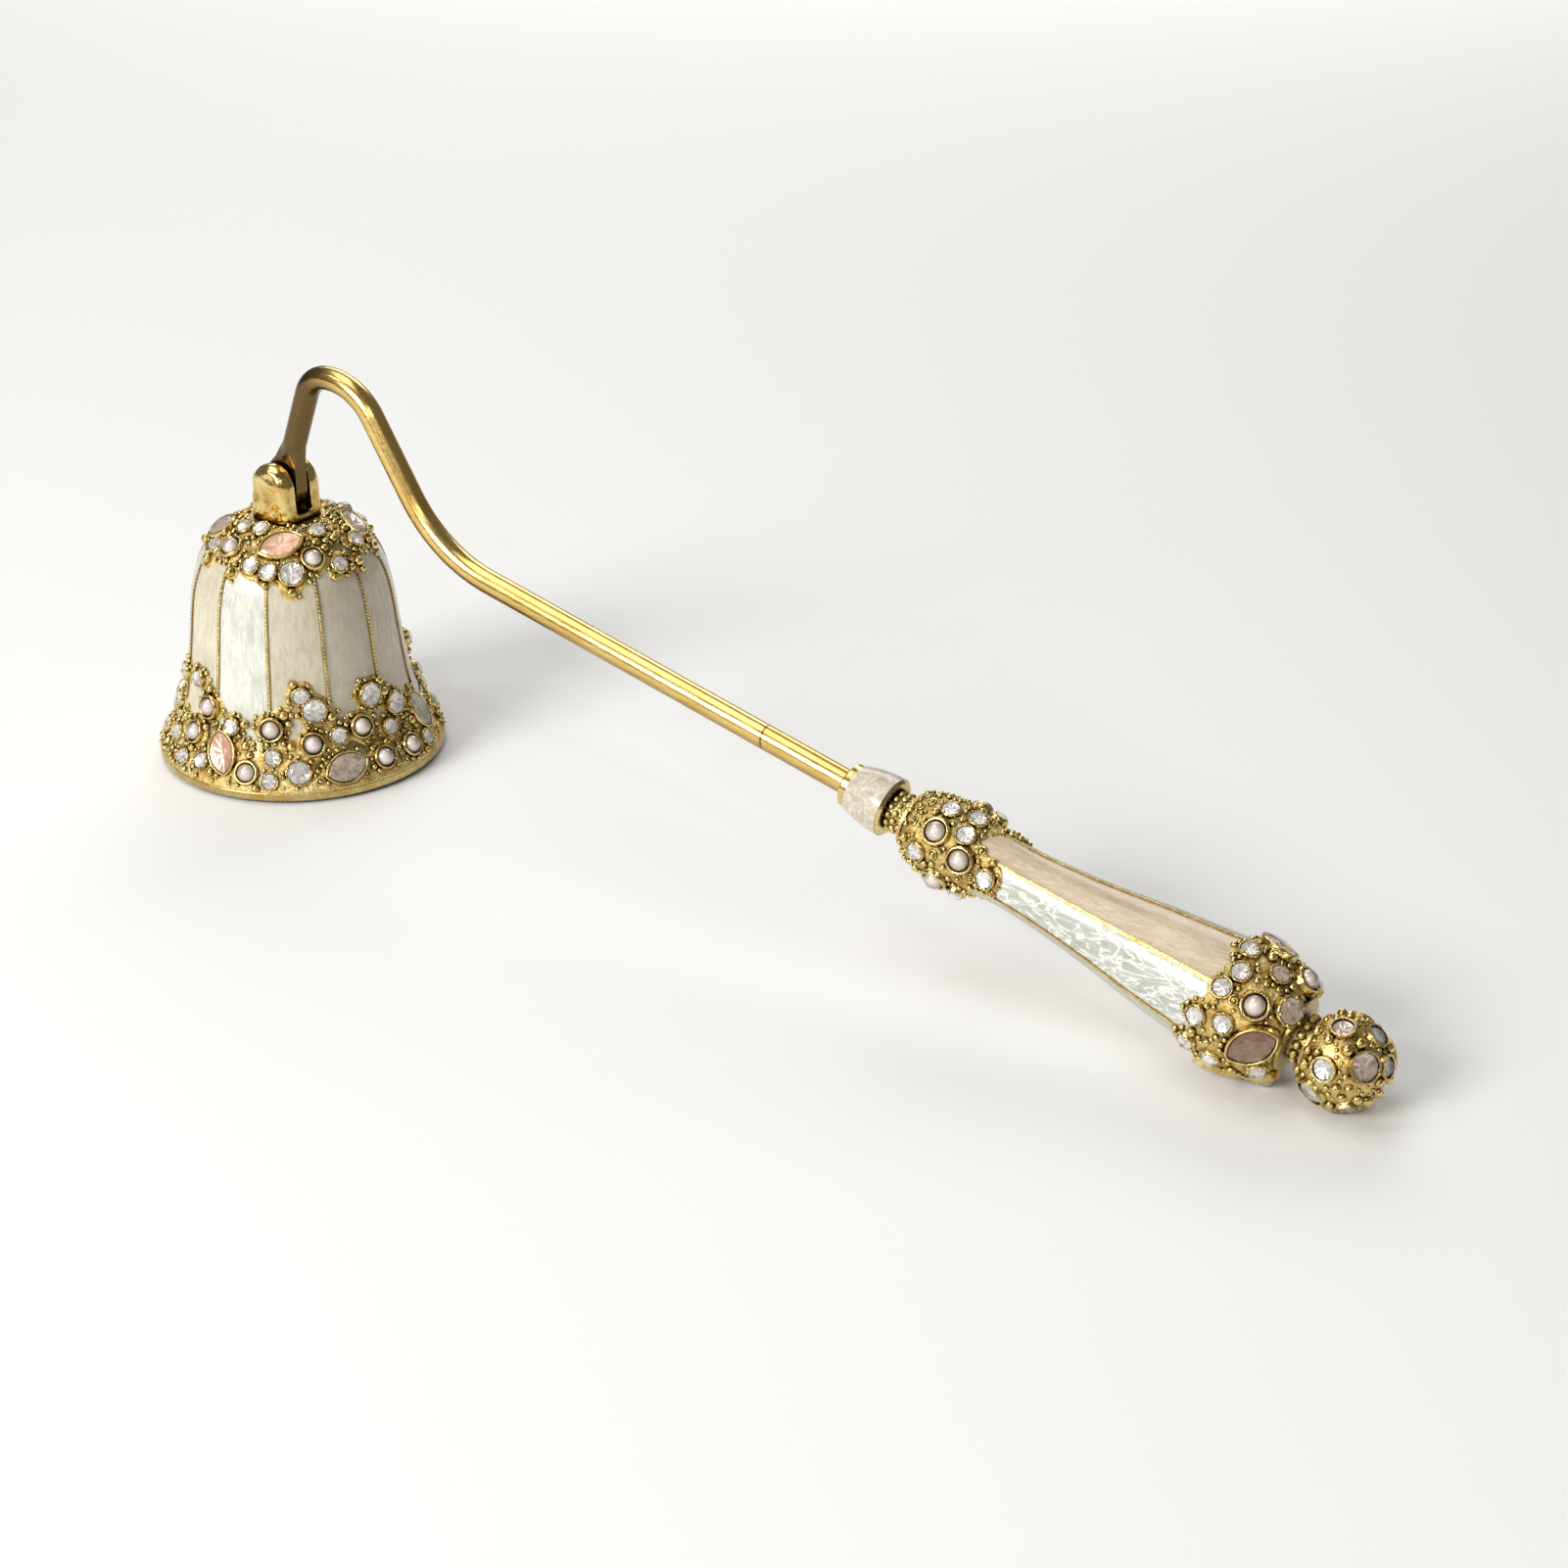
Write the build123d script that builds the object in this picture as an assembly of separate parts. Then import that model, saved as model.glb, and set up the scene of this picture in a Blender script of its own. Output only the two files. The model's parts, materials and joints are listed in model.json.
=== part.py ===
from build123d import *
import math
import os

# Jewelled candle snuffer with a hinged bell. Millimetres, +Z up.
# The origin is the centre of the bell's mouth. +X runs from the bell to the handle's finial.
# The bell stands on its lip and the finial rests on the same surface, at Z = 0.

# Fits and overruns
running_clearance = 0.05
stone_clearance = 0.05
solder_film = 0.04
cut_overrun = 1.0

# Steps of a line that follows an outline at a depth
field_line_steps = 14
solder_line_steps = 48

# Bell casting
rim_radius = 25.0
crown_height = 43.4
crown_seat_radius = 6.8
lip_height = 1.8
lip_foot_radius = 24.3
lip_width = 2.4
crown_wall = 2.6
mouth_radius = rim_radius - lip_width
cavity_height = crown_height - crown_wall
# Radius as a share of the rim's, height as a share of the crown's
bell_outline_shares = [
    (0.900, 0.150),
    (0.830, 0.250),
    (0.770, 0.410),
    (0.725, 0.610),
    (0.690, 0.740),
    (0.600, 0.865),
    (0.450, 0.945),
]
cavity_top_shares = [(0.270, 0.985), (0.0, 1.0)]

# Enamel fields of the bell
bell_panel_count = 12
bell_rib_width = 0.5
bell_rib_radius = 18.5
enamel_depth = 0.6
enamel_inset = 0.25
bell_panel_foot_share = 0.225
bell_panel_head_share = 0.885

# Hinge on the crown
lug_length = 9.2
lug_head_radius = 4.3
lug_width = 9.6
lug_rounding = 2.0
pin_height = 49.0
pin_radius = 1.2
slot_width = 3.6
eye_radius = 4.0
eye_thickness = 2.6
slot_floor_gap = 0.4

# Arm: round wire bent over the bell
rod_radius = 2.0
leg_top_x = 8.1
leg_top_z = 69.7
crest_x = 18.2
crest_z = 70.0
leg_bend_radius = 5.5
crest_bend_radius = 11.0
elbow_bend_radius = 26.0
flat_length = 4.9
flat_end_width = 4.6
forging_length = 3.4
elbow_from_finial = 168.8
seam_from_finial = 100.7
spigot_radius = 1.2
spigot_length = 5.0
spigot_end_gap = 0.3

# Handle axis: it slopes down to the finial, which rests on the table
handle_slope = 12.6
finial_x = 199.8
finial_reach = 7.25
handle_length = 85.0

# Ferrule: gold cup with an enamel sleeve
ferrule_length = 8.4
ferrule_lip_radius = 3.5
ferrule_lip_length = 1.3
ferrule_sleeve_radius = 3.1
ferrule_enamel_front_radius = 3.7
ferrule_enamel_rear_radius = 4.75
ferrule_flange_length = 0.5
ferrule_flange_radius = 4.6
ferrule_edge = 0.3

# Handle casting
neck_radius = 2.9
neck_length = 3.3
neck_ring_radius = 4.3
neck_ring_length = 0.5
neck_bead_radius = 0.55
neck_bead_count = 14
neck_bead_rows = 3
front_bulb_foot_radius = 4.1
front_bulb_radius = 6.1
front_bulb_length = 16.4
grip_waist_radius = 5.4
grip_end_radius = 8.9
grip_length = 35.0
rear_bulb_radius = 9.3
rear_bulb_end_radius = 5.4
rear_bulb_length = 13.6
rear_ridge_radius = 5.8
rear_ridge_length = 0.5
rear_neck_radius = 3.3
rear_neck_length = 2.5
rear_bead_radius = 0.7
rear_bead_count = 14
# Radius and length as shares of each stretch's own sizes
front_bulb_shares = [(0.84, 0.10), (0.96, 0.26), (1.00, 0.44), (0.95, 0.74)]
grip_shares = [(0.0, 0.0), (0.10, 0.27), (0.32, 0.48), (0.64, 0.70), (1.0, 1.0)]
rear_bulb_shares = [(1.00, 0.36), (0.95, 0.64), (0.80, 0.90)]
tang_length = 24.0
tang_end_gap = 0.5

# Enamel fields of the handle
handle_panel_count = 6
handle_rib_width = 0.45
handle_rib_radius = 6.5
handle_rib_turn = -9.0
handle_panel_foot_share = -0.13
handle_panel_head_share = 1.085

# Finial
finial_radius = 6.45
finial_seat_height = -0.45
finial_cup_height = 0.45
finial_crystal_radius = 1.5
finial_large_crystal_radius = 2.0
finial_disc_radius = 4.6
finial_disc_length = 0.6
stud_radius = 1.5
stud_core_length = 7.0
stud_finial_length = 6.0
stud_end_gap = 0.4

# Stones and their settings
pearl_radius = 1.6
pearl_centre_height = 0.1
cup_wall = 0.6
cup_height = 1.0
seat_height = 0.3
setting_root = 1.6
crystal_radius = 1.3
large_crystal_radius = 1.95
crystal_side_count = 8
crystal_girdle = 0.45
crystal_crown = 0.55
crystal_taper = 38.0
collet_wall = 0.35
collet_height = 0.6
marquise_length = 7.2
marquise_width = 4.6
marquise_wall = 0.55
marquise_height = 0.9
marquise_girdle = 0.6
marquise_crown = 0.5
marquise_crown_inset = 0.7
grain_radius = 0.85
grain_lift = 0.2

# Places on the bell: turn about the axis in degrees, then height as a share of the crown's height.
# Each list holds half the circle and is repeated on the other half.
pattern_repeats = 2
crown_pearl_place_shares = [(-96, 0.932), (-28, 0.912)]
crown_crystal_place_shares = [
    (-113, 0.918),
    (-103, 0.985),
    (-79, 0.990),
    (-72, 0.895),
    (-59, 0.880),
    (-11, 0.880),
    (-12, 0.980),
    (17, 0.925),
]
crown_large_crystal_place_shares = [(-44, 0.875)]
crown_marquise_place_shares = [(-52, 0.955, -65), (-138, 0.950, -75)]
crown_grain_place_shares = [
    (-45, 0.812),
    (-113, 0.875),
    (-20, 0.955),
    (5, 0.870),
    (-86, 0.865),
    (31, 0.880),
]
rim_pearl_place_shares = [
    (-94, 0.320),
    (-101, 0.205),
    (-69, 0.110),
    (-59, 0.275),
    (-40, 0.215),
    (-16, 0.250),
    (-9, 0.115),
    (7, 0.115),
]
rim_crystal_place_shares = [
    (-104, 0.415),
    (-121, 0.400),
    (-125, 0.265),
    (-131, 0.135),
    (-115, 0.160),
    (-104, 0.100),
    (-92, 0.115),
    (-58, 0.170),
    (-59, 0.085),
    (-44, 0.405),
    (-28, 0.235),
    (-1, 0.210),
    (19, 0.100),
    (-79, 0.270),
]
rim_large_crystal_place_shares = [(-47, 0.115), (-38, 0.345), (-8, 0.360), (7, 0.285)]
rim_marquise_place_shares = [(-82, 0.165, 22), (-27, 0.115, -76), (24, 0.200, 15)]
rim_grain_place_shares = [
    (-53, 0.330),
    (-71, 0.205),
    (-50, 0.210),
    (-30, 0.310),
    (-112, 0.235),
    (-86, 0.087),
    (1, 0.350),
    (14, 0.190),
    (-122, 0.100),
]

# Places on the handle's bulbs: turn about the handle, then length as a share of the bulb's length
front_bulb_pearl_place_shares = [(54, 0.38), (72, 0.69), (124, 0.49)]
front_bulb_crystal_place_shares = [(39, 0.63), (8, 0.62), (80, 0.97), (93, 0.27), (16, 0.37), (142, 0.69)]
rear_bulb_pearl_place_shares = [(51, 0.65), (-12, 0.885)]
rear_bulb_crystal_place_shares = [
    (8, 0.29),
    (32, 0.36),
    (13, 0.68),
    (51, 0.285),
    (83, 0.165),
    (77, 0.45),
    (116, 0.14),
    (120, 0.43),
    (119, 0.89),
]
rear_bulb_large_crystal_place_shares = [(36, 0.935)]
rear_bulb_marquise_place_shares = [(86, 0.79, 45), (-27, 0.455, -45)]

# Places on the finial: turn about the handle, tilt towards its end
finial_crystal_places = [
    (18, -11),
    (76, -6),
    (-8, 26),
    (-52, -8),
    (-104, 14),
    (-140, -14),
    (140, 34),
    (5, 65),
]
finial_large_crystal_places = [(48, 37), (-66, 46), (125, -12)]
# This one faces straight down and carries the finial
finial_foot_places = [(180, handle_slope)]


def profile_face(edges):
    """Flat face in the XZ plane from a closed chain of edges."""
    return make_face(Curve() + edges)


def ring_solid(points):
    """Solid of revolution about Z from a closed outline of radius and height pairs."""
    corners = [(radius, 0, height) for radius, height in points]
    return revolve(profile_face(Polyline(*corners, close=True)), Axis.Z)


def bell_outline():
    """Outer line of the bell from the top of the lip to the edge of the crown's seat."""
    points = [(rim_radius, 0, lip_height)]
    points += [(rim_radius * across, 0, crown_height * up) for across, up in bell_outline_shares]
    points.append((crown_seat_radius, 0, crown_height))
    return Spline(*points)


def cavity_outline():
    """Inner line of the bell from the mouth to the top of the hollow."""
    shares = bell_outline_shares + cavity_top_shares
    points = [(mouth_radius, 0, 0)]
    points += [(mouth_radius * across, 0, cavity_height * up) for across, up in shares]
    return Spline(*points)


def handle_outline():
    """Outer line of the handle's casting, radius along X and distance from the ferrule's front along Z."""
    start = ferrule_length + neck_length + neck_ring_length
    waist = start + front_bulb_length
    grip_end = waist + grip_length
    swell = grip_end_radius - grip_waist_radius
    points = [(front_bulb_foot_radius, 0, start)]
    for across, along in front_bulb_shares:
        points.append((front_bulb_radius * across, 0, start + front_bulb_length * along))
    for across, along in grip_shares:
        points.append((grip_waist_radius + swell * across, 0, waist + grip_length * along))
    for across, along in rear_bulb_shares:
        points.append((rear_bulb_radius * across, 0, grip_end + rear_bulb_length * along))
    points.append((rear_bulb_end_radius, 0, grip_end + rear_bulb_length))
    return Spline(*points)


def outward(outline, share):
    """Unit vector square to an outline, away from its axis."""
    along = outline % share
    return Vector(along.Z, 0, -along.X)


def share_at(outline, height):
    """Share of an outline at which it reaches a height."""
    low = 0.0
    high = 1.0
    for _ in range(30):
        middle = (low + high) / 2
        if (outline @ middle).Z < height:
            low = middle
        else:
            high = middle
    return (low + high) / 2


def inset_line(outline, foot, head, inset, steps):
    """Smooth line that follows a stretch of an outline at a depth below it."""
    points = []
    for step in range(steps + 1):
        share = foot + (head - foot) * step / steps
        points.append(outline @ share - outward(outline, share) * inset)
    return Spline(*points)


def layer_face(outline, foot, head, deep, shallow):
    """Face between two depths below a stretch of an outline."""
    inner = inset_line(outline, foot, head, deep, field_line_steps)
    outer = inset_line(outline, foot, head, shallow, field_line_steps)
    return profile_face([inner, Line(inner @ 1, outer @ 1), outer, Line(outer @ 0, inner @ 0)])


def sectors(face, count, rib_angle, first_turn):
    """Equal sectors of a revolved face, with a gap for a rib between each pair."""
    pitch = 360 / count
    sector = revolve(face, Axis.Z, pitch - rib_angle)
    return [Rot(0, 0, first_turn + pitch * index + rib_angle / 2) * sector for index in range(count)]


def surface_place(outline, height, turn, spin=0):
    """Place on a surface of revolution: Z points outwards, X along the outline."""
    share = share_at(outline, height)
    plane = Plane(origin=outline @ share, x_dir=outline % share, z_dir=outward(outline, share))
    return Rot(0, 0, turn) * Location(plane) * Rot(0, 0, spin)


def finial_places(places):
    """Places on the finial's ball, by turn and tilt: Z points outwards."""
    outwards = []
    for turn, tilt in places:
        aimed = Rot(0, 0, turn) * Rot(0, 90 - tilt, 0)
        outwards.append(Pos(0, 0, handle_length) * aimed * Pos(0, 0, finial_radius))
    return outwards


def round_blank(stone_radius, wall, height):
    """Solid round setting, rooted below the surface that it stands on."""
    foot = (Align.CENTER, Align.CENTER, Align.MIN)
    return Pos(0, 0, -setting_root) * Cylinder(stone_radius + wall, setting_root + height, align=foot)


def round_seat(stone_radius, height, floor=seat_height):
    """What is cut from a round setting for its stone."""
    foot = (Align.CENTER, Align.CENTER, Align.MIN)
    depth = height - floor + cut_overrun
    return Pos(0, 0, floor) * Cylinder(stone_radius + stone_clearance, depth, align=foot)


def pearl():
    """Flat-backed pearl, resting on the floor of its cup."""
    ball = Pos(0, 0, seat_height + pearl_centre_height) * Sphere(pearl_radius)
    return split(ball, Plane.XY.offset(seat_height), keep=Keep.TOP)


def crystal(radius, floor=seat_height):
    """Round crystal with flat facets: a straight girdle and a tapered crown."""
    base = Pos(0, 0, floor)
    outline = RegularPolygon(radius, crystal_side_count)
    girdle = base * extrude(outline, crystal_girdle)
    crown = extrude(outline, crystal_crown, taper=crystal_taper)
    return girdle + base * Pos(0, 0, crystal_girdle) * crown


def navette(growth):
    """Pointed oval face, its long way along X, grown evenly all round."""
    half_length = marquise_length / 2
    half_width = marquise_width / 2
    upper = ThreePointArc((-half_length, 0), (0, half_width), (half_length, 0))
    lower = ThreePointArc((half_length, 0), (0, -half_width), (-half_length, 0))
    face = make_face(Curve() + [upper, lower])
    return offset(face, growth) if growth else face


def marquise():
    """Pointed oval stone with a straight girdle and a sloping crown."""
    block = Pos(0, 0, seat_height) * extrude(navette(0), marquise_girdle + marquise_crown)
    rim = block.faces().sort_by(Axis.Z)[-1].edges()
    return chamfer(rim, marquise_crown, marquise_crown_inset)


def marquise_blank():
    """Solid pointed oval setting."""
    return Pos(0, 0, -setting_root) * extrude(navette(marquise_wall), setting_root + marquise_height)


def marquise_seat():
    """What is cut from a marquise setting for its stone."""
    depth = marquise_height - seat_height + cut_overrun
    return Pos(0, 0, seat_height) * extrude(navette(stone_clearance), depth)


def joined(shapes):
    """All shapes fused in one step."""
    return shapes[0].fuse(*shapes[1:]) if len(shapes) > 1 else shapes[0]


def fitted_settings(blanks, seats, carrier):
    """Settings trimmed to what carries them, with the seats of their stones cut out."""
    return joined([blank.cut(carrier) for blank in blanks]).cut(*seats)


def places_on(outline, start, length, shares):
    """Places on a surface of revolution for one list, repeated round its axis."""
    places = []
    for repeat in range(pattern_repeats):
        first = 360 / pattern_repeats * repeat
        for turn, along_share, *spins in shares:
            spin = spins[0] if spins else 0
            places.append(surface_place(outline, start + length * along_share, first + turn, spin))
    return places


def bell_places(shares):
    """Places on the bell, by turn and share of the crown's height."""
    return places_on(bell_line, 0, crown_height, shares)


def front_bulb_places(shares):
    """Places on the handle's front bulb, by turn and share of the bulb's length."""
    start = ferrule_length + neck_length + neck_ring_length
    return places_on(handle_line, start, front_bulb_length, shares)


def rear_bulb_places(shares):
    """Places on the handle's rear bulb, by turn and share of the bulb's length."""
    start = ferrule_length + neck_length + neck_ring_length + front_bulb_length + grip_length
    return places_on(handle_line, start, rear_bulb_length, shares)


def jewels(prefix, carrier, pearls=(), crystals=(), large_crystals=(), marquises=(), grains=()):
    """Settings and stones for one zone, as named groups of solids."""
    blanks = [place * round_blank(pearl_radius, cup_wall, cup_height) for place in pearls]
    seats = [place * round_seat(pearl_radius, cup_height) for place in pearls]
    for radius, places in ((crystal_radius, crystals), (large_crystal_radius, large_crystals)):
        blanks += [place * round_blank(radius, collet_wall, collet_height) for place in places]
        seats += [place * round_seat(radius, collet_height) for place in places]
    blanks += [place * marquise_blank() for place in marquises]
    seats += [place * marquise_seat() for place in marquises]
    groups = {prefix + "_settings": fitted_settings(blanks, seats, carrier)}
    stones = [place * crystal(crystal_radius) for place in crystals]
    stones += [place * crystal(large_crystal_radius) for place in large_crystals]
    if pearls:
        groups[prefix + "_pearls"] = Compound(children=[place * pearl() for place in pearls])
    groups[prefix + "_crystals"] = Compound(children=stones)
    if marquises:
        groups[prefix + "_marquises"] = Compound(children=[place * marquise() for place in marquises])
    if grains:
        dome = Pos(0, 0, grain_lift) * Sphere(grain_radius)
        groups[prefix + "_beads"] = Compound(children=[(place * dome).cut(carrier) for place in grains])
    return groups


def bell_body():
    """The bell's outer form, filled."""
    edges = Polyline(
        bell_line @ 1,
        (0, 0, crown_height),
        (0, 0, 0),
        (lip_foot_radius, 0, 0),
        (rim_radius, 0, rim_radius - lip_foot_radius),
        bell_line @ 0,
    )
    return revolve(profile_face([bell_line, edges]), Axis.Z)


def solder_body(outline):
    """Filled form that stands a solder film proud of an outline, to which settings are trimmed.

    It runs straight on past both ends of the outline, by the depth of a setting's root.
    """
    line = inset_line(outline, 0, 1, -solder_film, solder_line_steps)
    top = line @ 1
    foot = line @ 0
    edges = Polyline(
        top,
        (top.X, 0, top.Z + setting_root),
        (0, 0, top.Z + setting_root),
        (0, 0, foot.Z - setting_root),
        (foot.X, 0, foot.Z - setting_root),
        foot,
    )
    return revolve(profile_face([line, edges]), Axis.Z)


def solder_ridge():
    """Disc that stands a solder film proud of the ridge behind the rear bulb."""
    foot = (Align.CENTER, Align.CENTER, Align.MIN)
    disc = Cylinder(rear_ridge_radius + solder_film, setting_root, align=foot)
    return Pos(0, 0, (handle_line @ 1).Z - solder_film) * disc


def bell_cavity():
    """The hollow of the bell."""
    inner = cavity_outline()
    closing = [Line(inner @ 1, (0, 0, 0)), Line((0, 0, 0), inner @ 0)]
    return revolve(profile_face([inner] + closing), Axis.Z)


def bell_panels():
    """Enamel fields and the recesses that hold them."""
    foot = share_at(bell_line, crown_height * bell_panel_foot_share)
    head = share_at(bell_line, crown_height * bell_panel_head_share)
    rib_angle = math.degrees(bell_rib_width / bell_rib_radius)
    recess = layer_face(bell_line, foot, head, enamel_depth, -enamel_depth)
    enamel = layer_face(bell_line, foot, head, enamel_depth, enamel_inset)
    recesses = sectors(recess, bell_panel_count, rib_angle, 0)
    return recesses, sectors(enamel, bell_panel_count, rib_angle, 0)


def hinge_lug():
    """Block that narrows to a round head, with a slot for the arm's eye and a bore for the pin."""
    half = lug_length / 2
    rise = pin_height - crown_height
    touch = math.acos(lug_head_radius / math.hypot(half, rise)) - math.atan2(rise, half)
    across = lug_head_radius * math.cos(touch)
    top = pin_height + lug_head_radius * math.sin(touch)
    corners = [(-half, crown_height), (half, crown_height), (across, top), (-across, top)]
    outline = make_face(Polyline(*corners, close=True)) + Pos(0, pin_height) * Circle(lug_head_radius)
    plane = Plane(origin=(0, 0, 0), x_dir=(1, 0, 0), z_dir=(0, -1, 0))
    lug = extrude(plane * outline, lug_width / 2, both=True)
    foot = (Align.CENTER, Align.CENTER, Align.MIN)
    sides = lug.faces().filter_by(Axis.Y)
    arches = [edge for edge in sides.edges() if edge.center().Z > crown_height + slot_floor_gap]
    lug = fillet(arches, lug_rounding)
    slot_floor = pin_height - eye_radius - slot_floor_gap
    slot_height = half + eye_radius + slot_floor_gap + cut_overrun
    slot = Pos(0, 0, slot_floor) * Box(lug_length + cut_overrun, slot_width, slot_height, align=foot)
    bore = Cylinder(pin_radius, lug_width + cut_overrun)
    return lug - slot - Pos(0, 0, pin_height) * Rot(90, 0, 0) * bore


def hinge_pin():
    """Pin riveted in the ears."""
    return Pos(0, 0, pin_height) * Rot(90, 0, 0) * Cylinder(pin_radius, lug_width)


def handle_axis():
    """Unit vector along the handle, from the bell's side to the finial."""
    slope = math.radians(handle_slope)
    return Vector(math.cos(slope), 0, -math.sin(slope))


def handle_place():
    """The handle's own frame: Z along the handle from the ferrule's front, X upwards."""
    axis = handle_axis()
    front = Vector(finial_x, 0, finial_reach) - axis * handle_length
    return Location(Plane(origin=front, x_dir=(-axis.Z, 0, axis.X), z_dir=axis))


def arm_eye(leg):
    """Flattened end of the wire: an eye with a plate that narrows towards the rod."""
    pin = Vector(0, 0, pin_height)
    plane = Plane(origin=pin, x_dir=leg, z_dir=(0, -1, 0))
    touch = math.acos((eye_radius - flat_end_width / 2) / flat_length)
    across = eye_radius * math.sin(touch)
    along = eye_radius * math.cos(touch)
    half_end = flat_end_width / 2
    lower = [(0, -across), (along, -across), (flat_length, -half_end)]
    upper = [(flat_length, half_end), (along, across), (0, across)]
    plate = make_face(Polyline(*lower, *upper, close=True)) + Circle(eye_radius)
    return extrude(plane * plate, eye_thickness / 2, both=True)


def arm_rod():
    """Wire from the flattened eye over the bell to the seam, with a socket in its end."""
    axis = handle_axis()
    finial = Vector(finial_x, 0, finial_reach)
    pin = Vector(0, 0, pin_height)
    leg_top = Vector(leg_top_x, 0, leg_top_z)
    crest = Vector(crest_x, 0, crest_z)
    elbow = finial - axis * elbow_from_finial
    seam = finial - axis * seam_from_finial
    leg = (leg_top - pin).normalized()
    round_start = pin + leg * (flat_length + forging_length)
    bends = [leg_bend_radius, crest_bend_radius, elbow_bend_radius]
    path = FilletPolyline(round_start, leg_top, crest, elbow, seam, radius=bends)
    rod = sweep(Plane(origin=round_start, z_dir=leg) * Circle(rod_radius), path)
    flat_plane = Plane(origin=pin + leg * flat_length, x_dir=(0, 1, 0), z_dir=leg)
    round_plane = Plane(origin=round_start, x_dir=(0, 1, 0), z_dir=leg)
    flat_end = flat_plane * Rectangle(eye_thickness, flat_end_width)
    forging = loft([flat_end, round_plane * Circle(rod_radius)])
    wire = arm_eye(leg) + forging + rod
    bore = Pos(0, 0, pin_height) * Rot(90, 0, 0) * Cylinder(pin_radius + running_clearance, lug_width)
    foot = (Align.CENTER, Align.CENTER, Align.MIN)
    end_frame = Location(Plane(origin=seam, z_dir=-axis))
    socket_depth = spigot_length + spigot_end_gap
    socket = end_frame * Cylinder(spigot_radius + running_clearance, socket_depth, align=foot)
    return wire - bore - socket


def handle_rod():
    """Second length of the wire: spigot in the arm's socket, tang inside the handle."""
    foot = (Align.CENTER, Align.CENTER, Align.MIN)
    front = handle_length - seam_from_finial
    body = Pos(0, 0, front) * Cylinder(rod_radius, tang_length - front, align=foot)
    return body + Pos(0, 0, front - spigot_length) * Cylinder(spigot_radius, spigot_length, align=foot)


def ferrule():
    """Gold cup round the rod, with a front lip, a rear flange and a sleeve between them."""
    bore = rod_radius + running_clearance
    flange = ferrule_length - ferrule_flange_length
    return ring_solid([
        (bore, 0),
        (ferrule_lip_radius - ferrule_edge, 0),
        (ferrule_lip_radius, ferrule_edge),
        (ferrule_lip_radius, ferrule_lip_length),
        (ferrule_sleeve_radius, ferrule_lip_length),
        (ferrule_sleeve_radius, flange),
        (ferrule_flange_radius, flange),
        (ferrule_flange_radius - ferrule_edge, ferrule_length),
        (bore, ferrule_length),
    ])


def ferrule_enamel():
    """Enamel sleeve that swells towards the handle."""
    flange = ferrule_length - ferrule_flange_length
    front = (ferrule_enamel_front_radius, 0, ferrule_lip_length)
    rear = (ferrule_enamel_rear_radius, 0, flange)
    bulge = (rear[0] + front[0]) / 2 + ferrule_edge
    outer = ThreePointArc(front, (bulge, 0, (ferrule_lip_length + flange) / 2), rear)
    inner_rear = (ferrule_sleeve_radius, 0, flange)
    inner_front = (ferrule_sleeve_radius, 0, ferrule_lip_length)
    edges = [outer, Line(rear, inner_rear), Line(inner_rear, inner_front), Line(inner_front, front)]
    return revolve(profile_face(edges), Axis.Z)


def bead_ring(bead_radius, count, radius, height, turn=0):
    """Ring of beads round the handle's axis."""
    bead = Pos(radius, 0, height) * Sphere(bead_radius)
    return [Rot(0, 0, turn + 360 / count * index) * bead for index in range(count)]


def handle_body():
    """The handle casting's outer form, filled, without its beads."""
    ring_start = ferrule_length + neck_length
    end = (handle_line @ 1).Z
    neck_start = end + rear_ridge_length
    edges = Polyline(
        handle_line @ 1,
        (rear_ridge_radius, 0, end),
        (rear_ridge_radius, 0, neck_start),
        (rear_neck_radius, 0, neck_start),
        (rear_neck_radius, 0, finial_front()),
        (0, 0, finial_front()),
        (0, 0, ferrule_length),
        (neck_radius, 0, ferrule_length),
        (neck_radius, 0, ring_start),
        (neck_ring_radius, 0, ring_start),
        (neck_ring_radius, 0, ring_start + neck_ring_length),
        handle_line @ 0,
    )
    return revolve(profile_face([handle_line, edges]), Axis.Z)


def handle_panels():
    """Enamel fields of the grip and the recesses that hold them."""
    waist = ferrule_length + neck_length + neck_ring_length + front_bulb_length
    foot = share_at(handle_line, waist + grip_length * handle_panel_foot_share)
    head = share_at(handle_line, waist + grip_length * handle_panel_head_share)
    rib_angle = math.degrees(handle_rib_width / handle_rib_radius)
    recess = layer_face(handle_line, foot, head, enamel_depth, -enamel_depth)
    enamel = layer_face(handle_line, foot, head, enamel_depth, enamel_inset)
    recesses = sectors(recess, handle_panel_count, rib_angle, handle_rib_turn)
    return recesses, sectors(enamel, handle_panel_count, rib_angle, handle_rib_turn)


def handle_core(body, recesses):
    """Handle casting with its enamel recesses, neck beads and the bores for tang and stud."""
    foot = (Align.CENTER, Align.CENTER, Align.MIN)
    beads = []
    for row in range(neck_bead_rows):
        height = ferrule_length + neck_length * (row + 0.5) / neck_bead_rows
        turn = 180 / neck_bead_count * row
        beads += bead_ring(neck_bead_radius, neck_bead_count, neck_radius, height, turn)
    front = finial_front()
    beads += bead_ring(rear_bead_radius, rear_bead_count, rear_neck_radius, front - rear_neck_length / 2)
    tang_bore = Cylinder(rod_radius + running_clearance, tang_length + tang_end_gap, align=foot)
    stud_depth = stud_core_length + stud_end_gap
    stud_bore = Cylinder(stud_radius + running_clearance, stud_depth + cut_overrun, align=foot)
    stud_start = front - stud_depth
    return body.fuse(*beads).cut(*recesses, tang_bore, Pos(0, 0, stud_start) * stud_bore)


def finial_front():
    """Distance from the ferrule's front to the finial's flat face."""
    return (handle_line @ 1).Z + rear_ridge_length + rear_neck_length


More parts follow.
